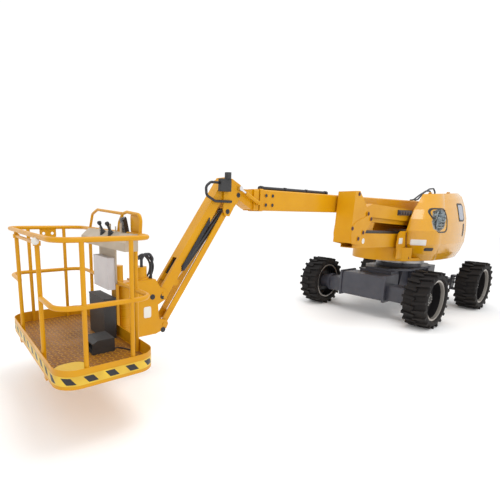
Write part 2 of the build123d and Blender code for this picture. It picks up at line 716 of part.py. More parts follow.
for name, hand in BODY_SIDES:
    with BuildPart() as knuckle:
        upright(-AXLE_X, hand * KINGPIN_Y, KNUCKLE_R, TYRE_R - KNUCKLE_HALF_H, TYRE_R + KNUCKLE_HALF_H)
        lathe(-AXLE_X, hand, (
            (KNUCKLE_FLANGE_R, KINGPIN_Y + ARM_HALF_WIDTH, DISC_FACE - SPINDLE_GAP),
            (SPINDLE_R, DISC_FACE - SPINDLE_GAP, SPINDLE_END),
        ))
        slab([
            (-AXLE_X, hand * (KINGPIN_Y - ARM_HALF_WIDTH)), (-AXLE_X, hand * (KINGPIN_Y + ARM_HALF_WIDTH)),
            (-AXLE_X - ARM_LENGTH - TIE_EYE_R, hand * (KINGPIN_Y + TIE_EYE_R)),
            (-AXLE_X - ARM_LENGTH - TIE_EYE_R, hand * (KINGPIN_Y - TIE_EYE_R)),
        ], TYRE_R - ARM_T / 2, TYRE_R + ARM_T / 2)
        upright(-AXLE_X, hand * KINGPIN_Y, KINGPIN_R + RUNNING, 0, TYRE_R * 2, Mode.SUBTRACT)
    finish(knuckle.part, f"knuckle_{name}")

with BuildPart() as tie_rod:
    pin((-AXLE_X - ARM_LENGTH, TYRE_R - ARM_T / 2 - TIE_DROP), TIE_R, -KINGPIN_Y, KINGPIN_Y)
    for hand in (1, -1):
        upright(-AXLE_X - ARM_LENGTH, hand * KINGPIN_Y, TIE_EYE_R, TYRE_R - ARM_T / 2 - TIE_DROP - TIE_R - TIE_EYE_LIP,
                TYRE_R - ARM_T / 2 - RUNNING)
finish(tie_rod.part, "tie_rod")

with BuildPart() as slew_ring:
    upright(0, 0, RING_R, RING_BOTTOM, BASE_BOTTOM)
    upright(0, 0, RING_BORE, RING_BOTTOM, BASE_BOTTOM, Mode.SUBTRACT)
    groove_z = (RING_BOTTOM + BASE_BOTTOM - RING_GROOVE_H) / 2
    with BuildSketch(plan(groove_z)) as groove:
        Circle(RING_R + RUNNING)
        Circle(RING_R - RING_GROOVE, mode=Mode.SUBTRACT)
    extrude(groove.sketch, amount=RING_GROOVE_H, mode=Mode.SUBTRACT)
finish(slew_ring.part, "slew_ring")


# ---------------------------------------------------------------- turret
def deck_outline(outset):
    """The turret's boat-shaped floor outline as wires in the (x, y) plane, larger by outset."""
    nose = (NOSE_X + outset, 0)
    tail = (TAIL_X - outset, 0)
    for hand in (1, -1):
        shoulder = (NOSE_SIDE[0] + outset / 2, hand * (NOSE_SIDE[1] + outset))
        middle = (FLANK_MIDDLE[0], hand * (FLANK_MIDDLE[1] + outset))
        rear = (FLANK_REAR[0], hand * (FLANK_REAR[1] + outset))
        tail_side = (TAIL_SIDE[0] - outset * 0.7, hand * (TAIL_SIDE[1] + outset * 0.7))
        ThreePointArc(shoulder, middle, rear)
        ThreePointArc(rear, tail_side, tail)
    ThreePointArc((NOSE_SIDE[0] + outset / 2, -NOSE_SIDE[1] - outset), nose,
                  (NOSE_SIDE[0] + outset / 2, NOSE_SIDE[1] + outset))


def hood_plane(level):
    """The section plane of a hood level, tilted so that it rises towards the rear."""
    tilt = math.radians(level[1])
    return Plane(origin=(SLEW_X, 0, level[0]), x_dir=(math.cos(tilt), 0, -math.sin(tilt)),
                 z_dir=(math.sin(tilt), 0, math.cos(tilt)))


def hood_edge(level, x):
    """The (x, z) of a point of a hood level, given its x in the level's own plane."""
    tilt = math.radians(level[1])
    return (x * math.cos(tilt), level[0] - x * math.sin(tilt))


def hood_levels(hand):
    """The levels of one hood; the right one is lower, to clear the boom."""
    if hand > 0:
        return [level[:4] for level in HOOD_LEVELS]
    return [level[:4] for level in HOOD_LEVELS if level[4]] + [RIGHT_HOOD_TOP]


def hood_wall(hand):
    """The (x, z) outline of a hood's inner face, where the turret's wall stands."""
    levels = hood_levels(hand)
    front = [hood_edge(level, level[2]) for level in levels]
    rear = [hood_edge(level, HOOD_REAR_CENTRE[0] - level[3]) for level in reversed(levels)]
    return front + rear


def hood_solid(hand, inner, levels, inset, mode=Mode.ADD):
    """The moulded hood lofted through its levels, or with an inset the space inside it."""
    sections = []
    for z, tilt, front, radius in levels:
        edge = inner - inset
        reach = HOOD_REAR_CENTRE[1] + radius - inset
        shoulder = (front - HOOD_CORNER, reach + HOOD_SIDE_RISE)
        corner = HOOD_CORNER - inset
        quarter = math.sqrt(0.5)
        bend = (front - inset - corner * (1 - quarter), edge + (shoulder[1] - edge) * quarter)
        flank = ((shoulder[0] + HOOD_REAR_CENTRE[0]) / 2, reach + HOOD_BULGE)
        tail = (HOOD_REAR_CENTRE[0] - radius + inset, max(edge, HOOD_REAR_CENTRE[1]))
        swing = (radius - inset) * quarter
        tail_bend = (HOOD_REAR_CENTRE[0] - swing, HOOD_REAR_CENTRE[1] + swing)
        with BuildSketch(hood_plane((z, tilt))) as outline:
            with BuildLine():
                Line((tail[0], hand * edge), (front - inset, hand * edge))
                ThreePointArc((front - inset, hand * edge), (bend[0], hand * bend[1]),
                              (shoulder[0], hand * shoulder[1]))
                ThreePointArc((shoulder[0], hand * shoulder[1]), (flank[0], hand * flank[1]),
                              (HOOD_REAR_CENTRE[0], hand * reach))
                ThreePointArc((HOOD_REAR_CENTRE[0], hand * reach), (tail_bend[0], hand * tail_bend[1]),
                              (tail[0], hand * tail[1]))
                if tail[1] > edge:
                    Line((tail[0], hand * tail[1]), (tail[0], hand * edge))
            make_face()
        sections.append(outline.sketch)
    loft(sections, ruled=True, mode=mode)


def hood_room(hand, inner):
    """The space inside a hood, closed on top by the hood's thickness and open at its bottom."""
    levels = hood_levels(hand)
    kept = [levels[number] for number in HOOD_ROOM_LEVELS if number < len(levels)]
    lowest = (kept[0][0] - HOOD_T, *kept[0][1:])
    highest = (kept[-1][0] - HOOD_T, *kept[-1][1:])
    hood_solid(hand, inner, [lowest, *kept[1:-1], highest], HOOD_T, Mode.SUBTRACT)


def window(y_min, y_max, scale, mode):
    """The air outlet's outline cut or kept through the left hood's side."""
    points = [(WINDOW_CENTRE[0] + (x - WINDOW_CENTRE[0]) * scale, WINDOW_CENTRE[1] + (z - WINDOW_CENTRE[1]) * scale)
              for x, z in WINDOW]
    plate(points, y_min, y_max, mode)


HOODS = (
    # name, side, inner face y
    ("left", 1, WALL_LEFT + WALL_T + RUNNING),
    ("right", -1, WALL_RIGHT + WALL_T + RUNNING),
)
HOOD_REACH = HOOD_REAR_CENTRE[1] + HOOD_LEVELS[3][3] + HOOD_BULGE + HOOD_SIDE_RISE
BASE_TOP = BASE_BOTTOM + BASE_T


def hinge_at(hand, inner, along):
    """The (x, z) of a point on a hood's hinge line; along counts from its front hinge."""
    level = hood_levels(hand)[-1]
    front = stepped(hood_edge(level, HINGES_X[0]), (0.0, HINGE_RISE))
    rear = stepped(hood_edge(level, HINGES_X[1]), (0.0, HINGE_RISE))
    return between(front, rear, along)


HINGE_STARTS = (0.0, HINGES_X[0] - HINGES_X[1] - HINGE_L)

with BuildPart() as turret_base:
    with BuildSketch(plan(BASE_BOTTOM)) as deck:
        with BuildLine():
            deck_outline(0.0)
        make_face()
    extrude(deck.sketch, amount=BASE_T)
    with BuildSketch(plan(BASE_BOTTOM)) as skirt:
        with BuildLine():
            deck_outline(0.0)
        make_face()
        with BuildLine():
            deck_outline(-SKIRT_T)
        make_face(mode=Mode.SUBTRACT)
        with Locations((SKIRT_FROM, 0)):
            Rectangle(2 * NOSE_X, 2 * HOOD_REACH, align=(Align.MAX, Align.CENTER), mode=Mode.SUBTRACT)
    extrude(skirt.sketch, amount=SKIRT_TOP - BASE_BOTTOM)
    for y in (ARM_Y - EAR_GAP - EAR_T, ARM_Y + EAR_GAP):
        plate([(-980, BASE_TOP), (-300, BASE_TOP), (-560, 1290), (-680, 1400), (-820, 1475), (-920, 1475),
               (-960, 1400)], y, y + EAR_T)
        plate([(-280, BASE_TOP), (-120, BASE_TOP), (-150, 1165), (-250, 1165)], y, y + EAR_T)
    for centre in (LOWER_REAR, stepped(LOWER_REAR, LOWER_TIE_STEP), LIFT_BASE):
        pin(centre, PIN_R, ARM_Y - EAR_GAP - EAR_T, ARM_Y + EAR_GAP + EAR_T)
    for name, hand, inner in HOODS:
        low, high = sorted((hand * (inner - RUNNING - WALL_T), hand * (inner - RUNNING)))
        outline = hood_wall(hand)
        plate([point for point in outline if point[1] > BASE_TOP] +
              [(outline[-1][0], BASE_BOTTOM), (outline[0][0], BASE_BOTTOM)], low, high)
    plate(COVER, WALL_LEFT, WALL_LEFT + COVER_T)
    for name, hand, inner in HOODS:
        hinge_y = hand * (inner + HINGE_IN)
        low, high = sorted((hand * (inner - RUNNING - WALL_T), hand * (inner - RUNNING)))
        for along in HINGE_STARTS:
            start = hinge_at(hand, inner, along)
            middle = hinge_at(hand, inner, along + HINGE_L / 2)
            rod(start, hinge_at(hand, inner, along + HINGE_L), HINGE_PIN_R, hinge_y)
            rod(start, middle, HINGE_R, hinge_y)
            plate([start, middle, stepped(middle, (0.0, -HINGE_FOOT)), stepped(start, (0.0, -HINGE_FOOT))], low, high)
finish(turret_base.part, "turret_base")

with BuildPart() as counterweight:
    with BuildSketch(plan(BASE_TOP)) as weight:
        with BuildLine():
            deck_outline(-COUNTERWEIGHT_GAP)
        make_face()
        with Locations((COUNTERWEIGHT_FRONT, COUNTERWEIGHT_GAP - WALL_RIGHT)):
            Rectangle(NOSE_X + COUNTERWEIGHT_FRONT, WALL_LEFT + WALL_RIGHT - 2 * COUNTERWEIGHT_GAP,
                      align=(Align.MAX, Align.MIN), mode=Mode.INTERSECT)
    extrude(weight.sketch, amount=COUNTERWEIGHT_TOP - BASE_TOP)
finish(counterweight.part, "counterweight")

for name, hand, inner in HOODS:
    with BuildPart() as hood:
        hood_solid(hand, inner, hood_levels(hand), 0.0)
        hood_room(hand, inner)
        with BuildSketch(plan(BASE_BOTTOM - BASE_T)) as under:
            with BuildLine():
                deck_outline(HOOD_DROP_GAP)
            make_face()
        extrude(under.sketch, amount=2 * BASE_T + RUNNING, mode=Mode.SUBTRACT)
        hinge_y = hand * (inner + HINGE_IN)
        low, high = sorted((hand * inner, hand * (inner + HINGE_IN + HINGE_R)))
        for along in HINGE_STARTS:
            start = hinge_at(hand, inner, along + HINGE_L / 2 + HINGE_GAP)
            end = hinge_at(hand, inner, along + HINGE_L)
            rod(start, end, HINGE_R, hinge_y)
            plate([start, end, stepped(end, (0.0, -HINGE_RISE - HOOD_T / 2)),
                   stepped(start, (0.0, -HINGE_RISE - HOOD_T / 2))], low, high)
            rod(hinge_at(hand, inner, along - HINGE_L), hinge_at(hand, inner, along + 2 * HINGE_L),
                HINGE_PIN_R + RUNNING, hinge_y, Mode.SUBTRACT)
        if hand > 0:
            window(inner + HOOD_T, HOOD_REACH, 1.0, Mode.SUBTRACT)
    finish(hood.part, f"hood_{name}")

with BuildPart() as louvres:
    for number in range(LOUVRES):
        z = WINDOW_CENTRE[1] + (number - (LOUVRES - 1) / 2) * LOUVRE_PITCH
        for x_from, x_to in ((-2 * LOUVRE_HALF_L, -LOUVRE_RIB), (LOUVRE_RIB, 2 * LOUVRE_HALF_L)):
            block(WINDOW_CENTRE[0] + x_from, WINDOW_CENTRE[0] + x_to, WALL_LEFT, HOOD_REACH,
                  z - LOUVRE_H / 2, z + LOUVRE_H / 2)
    window(WALL_LEFT, HOOD_REACH, LOUVRE_SCALE, Mode.INTERSECT)
with BuildPart() as hood_grille:
    hood_solid(1, HOODS[0][2], hood_levels(1), 0.0)
    hood_room(1, HOODS[0][2])
    window(HOODS[0][2] + HOOD_T, HOOD_REACH, GRILLE_SCALE, Mode.INTERSECT)
    add(louvres.part, mode=Mode.SUBTRACT)
finish(hood_grille.part, "hood_grille")

with BuildPart() as engine_block:
    block(-550, 250, 480, 620, BASE_TOP, 1600)
finish(engine_block.part, "engine_block")

with BuildPart() as tank_block:
    block(-550, 250, -620, -260, BASE_TOP, 1500)
finish(tank_block.part, "tank_block")


# ---------------------------------------------------------------- folding arms
def channel(start, end, low, high, closed_low, y_mid, half_w, wall, extra):
    """A long box along two pins, open along one face; closed_low says which face has its plate."""
    for y in (y_mid - half_w, y_mid + half_w - wall):
        strip(start, end, low, high, y, y + wall, extra)
    if closed_low:
        strip(start, end, low, low + wall, y_mid - half_w, y_mid + half_w, extra)
    else:
        strip(start, end, high - wall, high, y_mid - half_w, y_mid + half_w, extra)


def arm_ends(centres):
    """The bossed and bored ends of an arm."""
    for centre in centres:
        for y in (ARM_Y - ARM_HALF_W, ARM_Y + ARM_HALF_W - BOSS_T):
            pin(centre, BOSS_R, y, y + BOSS_T)
        pin(centre, PIN_R + RUNNING, ARM_Y - ARM_HALF_W, ARM_Y + ARM_HALF_W, Mode.SUBTRACT)


def arm_tie(start, end, height, label):
    """The levelling bar beside an arm, written as a node."""
    with BuildPart() as tie:
        bar(start, end, height, ARM_Y - ARM_TIE_HALF_W, ARM_Y + ARM_TIE_HALF_W)
        for centre in (start, end):
            pin(centre, PIN_R + RUNNING, ARM_Y - ARM_HALF_W, ARM_Y + ARM_HALF_W, Mode.SUBTRACT)
    finish(tie.part, label)


with BuildPart() as lower_arm:
    channel(LOWER_REAR, LOWER_FRONT, LOWER_LOW, LOWER_HIGH, True, ARM_Y, ARM_HALF_W, ARM_PLATE, ARM_END)
    strip(between(LOWER_FRONT, LOWER_REAR, LOWER_TIE_ROOM[0]), LOWER_FRONT, LOWER_TIE_ROOM[1], BOSS_R * 2,
          ARM_Y - ARM_HALF_W, ARM_Y + ARM_HALF_W, BOSS_R, Mode.SUBTRACT)
    arm_ends((LOWER_REAR, LOWER_FRONT))
    for y in (ARM_Y - LIFT_EYE_HALF_W - EYE_SIDE_GAP - LIFT_LUG_T, ARM_Y + LIFT_EYE_HALF_W + EYE_SIDE_GAP):
        plate([(LIFT_EYE[0] - LIFT_LUG_HALF_L, 1250), (LIFT_EYE[0] - CYLINDER_EYE_R, LIFT_EYE[1] - CYLINDER_EYE_R),
               (LIFT_EYE[0] + CYLINDER_EYE_R, LIFT_EYE[1] - CYLINDER_EYE_R), (LIFT_EYE[0] + LIFT_LUG_HALF_L, 1250)],
              y, y + LIFT_LUG_T)
finish(lower_arm.part, "lower_arm")

arm_tie(stepped(LOWER_REAR, LOWER_TIE_STEP), stepped(LOWER_FRONT, LOWER_TIE_STEP), LOWER_TIE_H, "lower_tie")

KNUCKLE_OUTLINE = (
    (2500, 1370), (2465, 2120), (2345, 2125), (2300, 2075), (2220, 2005), (2098, 1874), (2035, 1855), (1955, 1770),
    (1950, 1690), (2080, 1560), (2140, 1480), (2150, 1345), (2300, 1335),
)
DOUBLER_OUTLINE = (
    (2092, 1772), (2370, 1687), (2480, 1617), (2495, 1508), (2472, 1365), (2300, 1340), (2155, 1348), (2145, 1482),
    (2083, 1563), (1955, 1692), (1960, 1768), (2035, 1790),
)
with BuildPart() as mid_knuckle:
    for y in (ARM_Y - EAR_GAP - EAR_T, ARM_Y + EAR_GAP):
        plate(KNUCKLE_OUTLINE, y, y + EAR_T)
    for y in (ARM_Y - EAR_GAP - EAR_T - DOUBLER_T, ARM_Y + EAR_GAP + EAR_T):
        plate(DOUBLER_OUTLINE, y, y + DOUBLER_T)
    plate([(2480, 1370), (2500, 1370), (2465, 2120), (2445, 2120)], ARM_Y - EAR_GAP, ARM_Y + EAR_GAP)
    reach = EAR_GAP + EAR_T + DOUBLER_T
    for centre in (LOWER_FRONT, stepped(LOWER_FRONT, LOWER_TIE_STEP), UPPER_FRONT,
                   stepped(UPPER_FRONT, UPPER_TIE_STEP)):
        headed_pin(centre, PIN_R, ARM_Y - reach, ARM_Y + reach)
finish(mid_knuckle.part, "mid_knuckle")

with BuildPart() as upper_arm:
    channel(UPPER_FRONT, UPPER_REAR, -UPPER_TOP, UPPER_UNDER, True, ARM_Y, ARM_HALF_W, ARM_PLATE, ARM_END)
    nose_top = beside(UPPER_FRONT, UPPER_REAR, UPPER_NOSE[0], -UPPER_TOP)
    nose_end = beside(UPPER_FRONT, UPPER_REAR, -ARM_END, -UPPER_NOSE[1])
    nose_beyond = beside(UPPER_FRONT, UPPER_REAR, -2 * ARM_END, -2 * UPPER_TOP)
    plate([nose_top, nose_end, nose_beyond], ARM_Y - ARM_HALF_W, ARM_Y + ARM_HALF_W, Mode.SUBTRACT)
    strip(nose_end, nose_top, 0.0, ARM_PLATE, ARM_Y - ARM_HALF_W, ARM_Y + ARM_HALF_W)
    arm_ends((UPPER_REAR, UPPER_FRONT))
finish(upper_arm.part, "upper_arm")

with BuildPart() as arm_valve:
    block(VALVE_BLOCK[0], VALVE_BLOCK[1], ARM_Y + ARM_HALF_W, ARM_Y + ARM_HALF_W + VALVE_BLOCK_T / 2,
          VALVE_BLOCK[2], VALVE_BLOCK[3])
    for number in range(VALVES):
        x = VALVE_BLOCK[0] + (number + 0.5) * (VALVE_BLOCK[1] - VALVE_BLOCK[0]) / VALVES
        pin((x, (VALVE_BLOCK[2] + VALVE_BLOCK[3]) / 2), VALVE_R, ARM_Y + ARM_HALF_W + VALVE_BLOCK_T / 2,
            ARM_Y + ARM_HALF_W + VALVE_BLOCK_T)
finish(arm_valve.part, "arm_valve")

arm_tie(stepped(UPPER_REAR, UPPER_TIE_STEP), stepped(UPPER_FRONT, UPPER_TIE_STEP), UPPER_TIE_H, "upper_tie")

BOOM_PLATE = (
    (-1045, 1520), (-500, 1500), (-500, 1600), (-690, 1800), (-800, 2005), (-840, 2040), (-960, 2040), (-1000, 2005),
    (-1045, 1800),
)
ARM_CHEEK = ((-1045, 1520), (-690, 1520), (-670, 1760), (-720, 1830), (-1000, 1830), (-1045, 1780))
CHEEK_OUTER = ARM_Y + EAR_GAP + EAR_T
with BuildPart() as upper_knuckle:
    plate(ARM_CHEEK, ARM_Y + EAR_GAP, CHEEK_OUTER)
    plate(BOOM_PLATE, BOOM_PLATE_Y, ARM_Y - EAR_GAP)
    plate(BOOM_PLATE, -BOOM_PLATE_Y - KNUCKLE_PLATE, -BOOM_PLATE_Y)
    block(-1045, -1025, -BOOM_PLATE_Y - KNUCKLE_PLATE, CHEEK_OUTER, 1520, 1760)
    for centre in (BOOM_PIVOT, BOOM_CYL_BASE):
        headed_pin(centre, PIN_R, -BOOM_PLATE_Y - KNUCKLE_PLATE, ARM_Y - EAR_GAP)
    for centre in (UPPER_REAR, stepped(UPPER_REAR, UPPER_TIE_STEP)):
        headed_pin(centre, PIN_R, BOOM_PLATE_Y, CHEEK_OUTER)
finish(upper_knuckle.part, "upper_knuckle")


# ---------------------------------------------------------------- hydraulic cylinders
def cylinder(name, base, eye, barrel_r, rod_r, barrel_l, y, eye_half_w, bore_r, eye_r, rod_start=ROD_START):
    """Barrel pinned at its base and rod reaching to its eye, written as two nodes."""
    neck = between(base, eye, barrel_l)
    with BuildPart() as barrel:
        rod(between(base, eye, eye_r * 0.6), neck, barrel_r, y)
        pin(base, eye_r, y - eye_half_w, y + eye_half_w)
        rod(between(base, eye, eye_r + ROD_START / 2), neck, rod_r + RUNNING, y, Mode.SUBTRACT)
        pin(base, bore_r + RUNNING, y - eye_half_w, y + eye_half_w, Mode.SUBTRACT)
    finish(barrel.part, f"{name}_barrel")
    with BuildPart() as piston_rod:
        rod(between(base, eye, eye_r + rod_start), between(eye, base, eye_r * 0.5), rod_r, y)
        pin(eye, eye_r, y - eye_half_w, y + eye_half_w)
    finish(piston_rod.part, f"{name}_rod")


cylinder("lift_cylinder", LIFT_BASE, LIFT_EYE, LIFT_BARREL_R, LIFT_ROD_R, LIFT_BARREL_L, ARM_Y, LIFT_EYE_HALF_W,
         PIN_R, CYLINDER_EYE_R)
cylinder("boom_cylinder", BOOM_CYL_BASE, BOOM_CYL_EYE, BOOM_BARREL_R, BOOM_ROD_R, BOOM_BARREL_L, 0,
         BOOM_EYE_HALF_W, PIN_R, CYLINDER_EYE_R)

# ---------------------------------------------------------------- telescopic boom
BOOM_Z = BOOM_PIVOT[1]
BOOM_TOP = BOOM_Z + BOOM_HALF_H
BOOM_UNDER = BOOM_Z - BOOM_HALF_H
INNER_HALF_W = BOOM_HALF_W - BOOM_WALL - INNER_GAP
INNER_HALF_H = BOOM_HALF_H - BOOM_WALL - INNER_GAP


def box_section(x_min, x_max, half_w, half_h, edge, mode=Mode.ADD):
    """A bar of the boom's rectangular section with bevelled edges, from x_min to x_max."""
    with BuildSketch(across(x_min)) as section:
        with Locations((0, BOOM_Z)):
            Rectangle(2 * half_w, 2 * half_h)
        chamfer(section.vertices(), length=edge)
    extrude(section.sketch, amount=x_max - x_min, mode=mode)


with BuildPart() as outer_boom:
    box_section(BOOM_REAR, BOOM_MOUTH, BOOM_HALF_W, BOOM_HALF_H, BOOM_EDGE)
    box_section(BOOM_MOUTH - MOUTH_COLLAR_L, BOOM_MOUTH, BOOM_HALF_W + MOUTH_COLLAR_T, BOOM_HALF_H + MOUTH_COLLAR_T,
                BOOM_EDGE)
    box_section(BOOM_REAR + BOOM_REAR_BLOCK, BOOM_MOUTH, BOOM_HALF_W - BOOM_WALL, BOOM_HALF_H - BOOM_WALL,
                BOOM_EDGE / 2, Mode.SUBTRACT)
    for y in (-BOOM_EYE_HALF_W - EYE_SIDE_GAP - BOOM_LUG_T, BOOM_EYE_HALF_W + EYE_SIDE_GAP):
        plate([(BOOM_CYL_EYE[0] - 140, BOOM_UNDER + 2), (BOOM_CYL_EYE[0] - 50, BOOM_CYL_EYE[1] - 45),
               (BOOM_CYL_EYE[0] - 30, BOOM_CYL_EYE[1] - 60), (BOOM_CYL_EYE[0] + 30, BOOM_CYL_EYE[1] - 60),
               (BOOM_CYL_EYE[0] + 50, BOOM_CYL_EYE[1] - 45), (BOOM_CYL_EYE[0] + 140, BOOM_UNDER + 2)],
              y, y + BOOM_LUG_T)
    pin(BOOM_PIVOT, PIN_R + RUNNING, -BOOM_HALF_W, BOOM_HALF_W, Mode.SUBTRACT)
    for x in PADS_X:
        for z in PADS_Z:
            for low, high in ((-BOOM_HALF_W - PAD_REACH, -INNER_HALF_W - RUNNING),
                              (INNER_HALF_W + RUNNING, BOOM_HALF_W + PAD_REACH)):
                pin((BOOM_MOUTH - x, BOOM_Z + z), PAD_R, low, high)
finish(outer_boom.part, "outer_boom")

with BuildPart() as hose_tube:
    tube_z = BOOM_TOP + HOSE_TUBE_R
    tube_end = BOOM_MOUTH - MOUTH_COLLAR_L - HOSE_TUBE_MARGIN
    rod((HOSE_TUBE_REAR, tube_z), (tube_end, tube_z), HOSE_TUBE_R, 0)
    for number in range(CLAMPS):
        x = HOSE_TUBE_REAR + CLAMP_L + number * (tube_end - HOSE_TUBE_REAR - 2 * CLAMP_L) / (CLAMPS - 1)
        rod((x - CLAMP_L / 2, tube_z), (x + CLAMP_L / 2, tube_z), HOSE_TUBE_R + CLAMP_RIM, 0)
        block(x - CLAMP_L / 2, x + CLAMP_L / 2, -HOSE_TUBE_R - 2 * CLAMP_RIM, HOSE_TUBE_R + 2 * CLAMP_RIM,
              BOOM_TOP, BOOM_TOP + CLAMP_RIM)
    block(HOSE_TUBE_REAR, tube_end, -BOOM_HALF_W, BOOM_HALF_W, BOOM_TOP - 2 * CLAMP_RIM, BOOM_TOP, Mode.SUBTRACT)
finish(hose_tube.part, "hose_tube")

HEAD_BACK = BOOM_MOUTH + HEAD_GAP
HEAD_FRONT = HEAD_BACK + HEAD_BOX_L
NOSE_IN = NOSE_PLATE_Y - NOSE_PLATE_T
with BuildPart() as inner_boom:
    box_section(INNER_REAR, HEAD_FRONT, INNER_HALF_W, INNER_HALF_H, BOOM_EDGE / 2)
    box_section(HEAD_BACK, HEAD_FRONT, BOOM_HALF_W, BOOM_HALF_H, BOOM_EDGE)
    box_section(INNER_REAR, HEAD_FRONT - NOSE_PLATE_T, INNER_HALF_W - INNER_WALL, INNER_HALF_H - INNER_WALL,
                BOOM_EDGE / 3, Mode.SUBTRACT)
    for y in (-NOSE_PLATE_Y, NOSE_IN):
        plate([(HEAD_FRONT - 5, BOOM_UNDER + 10), (HEAD_FRONT + 40, BOOM_UNDER + 20), (4420, 1938), (4470, 1955),
               (4485, 1985), (4470, 2015), (4400, 2060), (HEAD_FRONT + 40, BOOM_TOP - 10),
               (HEAD_FRONT - 5, BOOM_TOP - 10)], y, y + NOSE_PLATE_T)
    plate([(HEAD_FRONT - 5, BOOM_UNDER + 10), (HEAD_FRONT + 40, BOOM_UNDER + 20), (4380, 1917), (4370, 1932),
           (HEAD_FRONT + 35, BOOM_UNDER + 38), (HEAD_FRONT - 5, BOOM_UNDER + 26)], -NOSE_IN, NOSE_IN)
    plate([(HEAD_FRONT - 5, BOOM_TOP - 26), (4350, 2046), (4350, 2060), (HEAD_FRONT - 5, BOOM_TOP - 10)],
          -NOSE_IN, NOSE_IN)
    pin(TIP_PIVOT, JIB_PIN_R + NOSE_PLATE_T, -NOSE_IN, NOSE_IN)
    pin(TIP_PIVOT, JIB_PIN_R + RUNNING, -NOSE_PLATE_Y, NOSE_PLATE_Y, Mode.SUBTRACT)
    pin(LEVEL_BASE, LEVEL_PIN_R, BOOM_HALF_W, LEVEL_Y + LEVEL_R)
finish(inner_boom.part, "inner_boom")

cylinder("level_cylinder", LEVEL_BASE, LEVEL_EYE, LEVEL_R, LEVEL_ROD_R, LEVEL_BARREL_L, LEVEL_Y,
         LEVEL_EYE_HALF_W, LEVEL_PIN_R, LEVEL_EYE_R)

# ---------------------------------------------------------------- jib
CHEEK_FACE = CHEEK_Y + CHEEK_T
JIB_TIE_TOP = stepped(JIB_TOP, JIB_TIE_STEP)
JIB_TIE_BOTTOM = stepped(JIB_BOTTOM, JIB_TIE_STEP)
with BuildPart() as jib_head:
    for y in (-CHEEK_FACE, CHEEK_Y):
        plate([(4392, 1985), (4392, 2060), (4405, 2100), (4540, 2165), (4600, 2175), (4650, 2150), (4660, 2100),
               (4665, 1815), (4640, 1745), (4570, 1735), (4500, 1845), (4410, 1945)], y, y + CHEEK_T)
    plate([(4530, 1980), (4550, 1980), (4550, 1900), (4530, 1900)], -CHEEK_Y, CHEEK_Y)
    for centre in (TIP_PIVOT, JIB_TOP, JIB_TIE_TOP):
        pin(centre, JIB_PIN_R, -CHEEK_FACE, CHEEK_FACE)
        pin(centre, JIB_PIN_R + PIN_HEAD_T, -CHEEK_FACE - PIN_HEAD_T, -CHEEK_FACE)
    pin(LEVEL_EYE, LEVEL_PIN_R, CHEEK_FACE, LEVEL_Y - LEVEL_EYE_HALF_W - RUNNING)
finish(jib_head.part, "jib_head")

with BuildPart() as head_valve:
    block(HEAD_VALVE[0], HEAD_VALVE[1], CHEEK_FACE, CHEEK_FACE + HEAD_VALVE_T, HEAD_VALVE[2], HEAD_VALVE[3])
    upright(HEAD_CAP[0], HEAD_CAP[1], HEAD_CAP[2], HEAD_VALVE[3], HEAD_CAP[3])
finish(head_valve.part, "head_valve")

with BuildPart() as head_hose:
    hose_y = CHEEK_FACE + HOSE_R + RUNNING
    tube([(x, hose_y, z) for x, z in HEAD_HOSE], HOSE_R, HEAD_HOSE_BEND)
finish(head_hose.part, "head_hose")

with BuildPart() as jib_beam:
    channel(JIB_TOP, JIB_BOTTOM, -JIB_H / 2, JIB_H / 2, False, 0.0, JIB_HALF_W, JIB_PLATE, JIB_END)
    for centre in (JIB_TOP, JIB_BOTTOM):
        for y in (-JIB_HALF_W, JIB_HALF_W - JIB_BOSS_T):
            pin(centre, JIB_BOSS_R, y, y + JIB_BOSS_T)
        pin(centre, JIB_PIN_R + RUNNING, -JIB_HALF_W, JIB_HALF_W, Mode.SUBTRACT)
    lug_inner = JIB_EYE_HALF_W + JIB_LUG_GAP
    strip(between(JIB_TOP, JIB_BOTTOM, JIB_OPENING[0]), between(JIB_TOP, JIB_BOTTOM, JIB_OPENING[1]),
          0, JIB_H, -lug_inner, lug_inner, 0, Mode.SUBTRACT)
    for y in (-lug_inner - JIB_LUG_T, lug_inner):
        strip(between(JIB_TOP, JIB_BOTTOM, JIB_EYE_AT - JIB_LUG_HALF_L),
              between(JIB_TOP, JIB_BOTTOM, JIB_EYE_AT + JIB_LUG_HALF_L),
              -JIB_EYE_DROP, JIB_H / 2 - JIB_PLATE, y, y + JIB_LUG_T)
        pin(JIB_EYE, JIB_LUG_HALF_L, y, y + JIB_LUG_T)
finish(jib_beam.part, "jib_beam")

with BuildPart() as jib_tie:
    for y in (-JIB_TIE_Y - JIB_TIE_T, JIB_TIE_Y):
        bar(JIB_TIE_TOP, JIB_TIE_BOTTOM, JIB_TIE_H, y, y + JIB_TIE_T)
    for centre in (JIB_TIE_TOP, JIB_TIE_BOTTOM):
        pin(centre, JIB_PIN_R + RUNNING, -JIB_HALF_W, JIB_HALF_W, Mode.SUBTRACT)
    strip(between(JIB_TIE_TOP, JIB_TIE_BOTTOM, JIB_TIE_WEB[0]), between(JIB_TIE_TOP, JIB_TIE_BOTTOM, JIB_TIE_WEB[1]),
          -JIB_TIE_H / 2, JIB_PLATE - JIB_TIE_H / 2, -JIB_TIE_Y - JIB_LUG_GAP, JIB_TIE_Y + JIB_LUG_GAP)
finish(jib_tie.part, "jib_tie")

cylinder("jib_cylinder", JIB_TIE_TOP, JIB_EYE, JIB_BARREL_R, JIB_ROD_R, JIB_BARREL_L, 0,
         JIB_EYE_HALF_W, JIB_PIN_R, JIB_EYE_R, JIB_ROD_START)

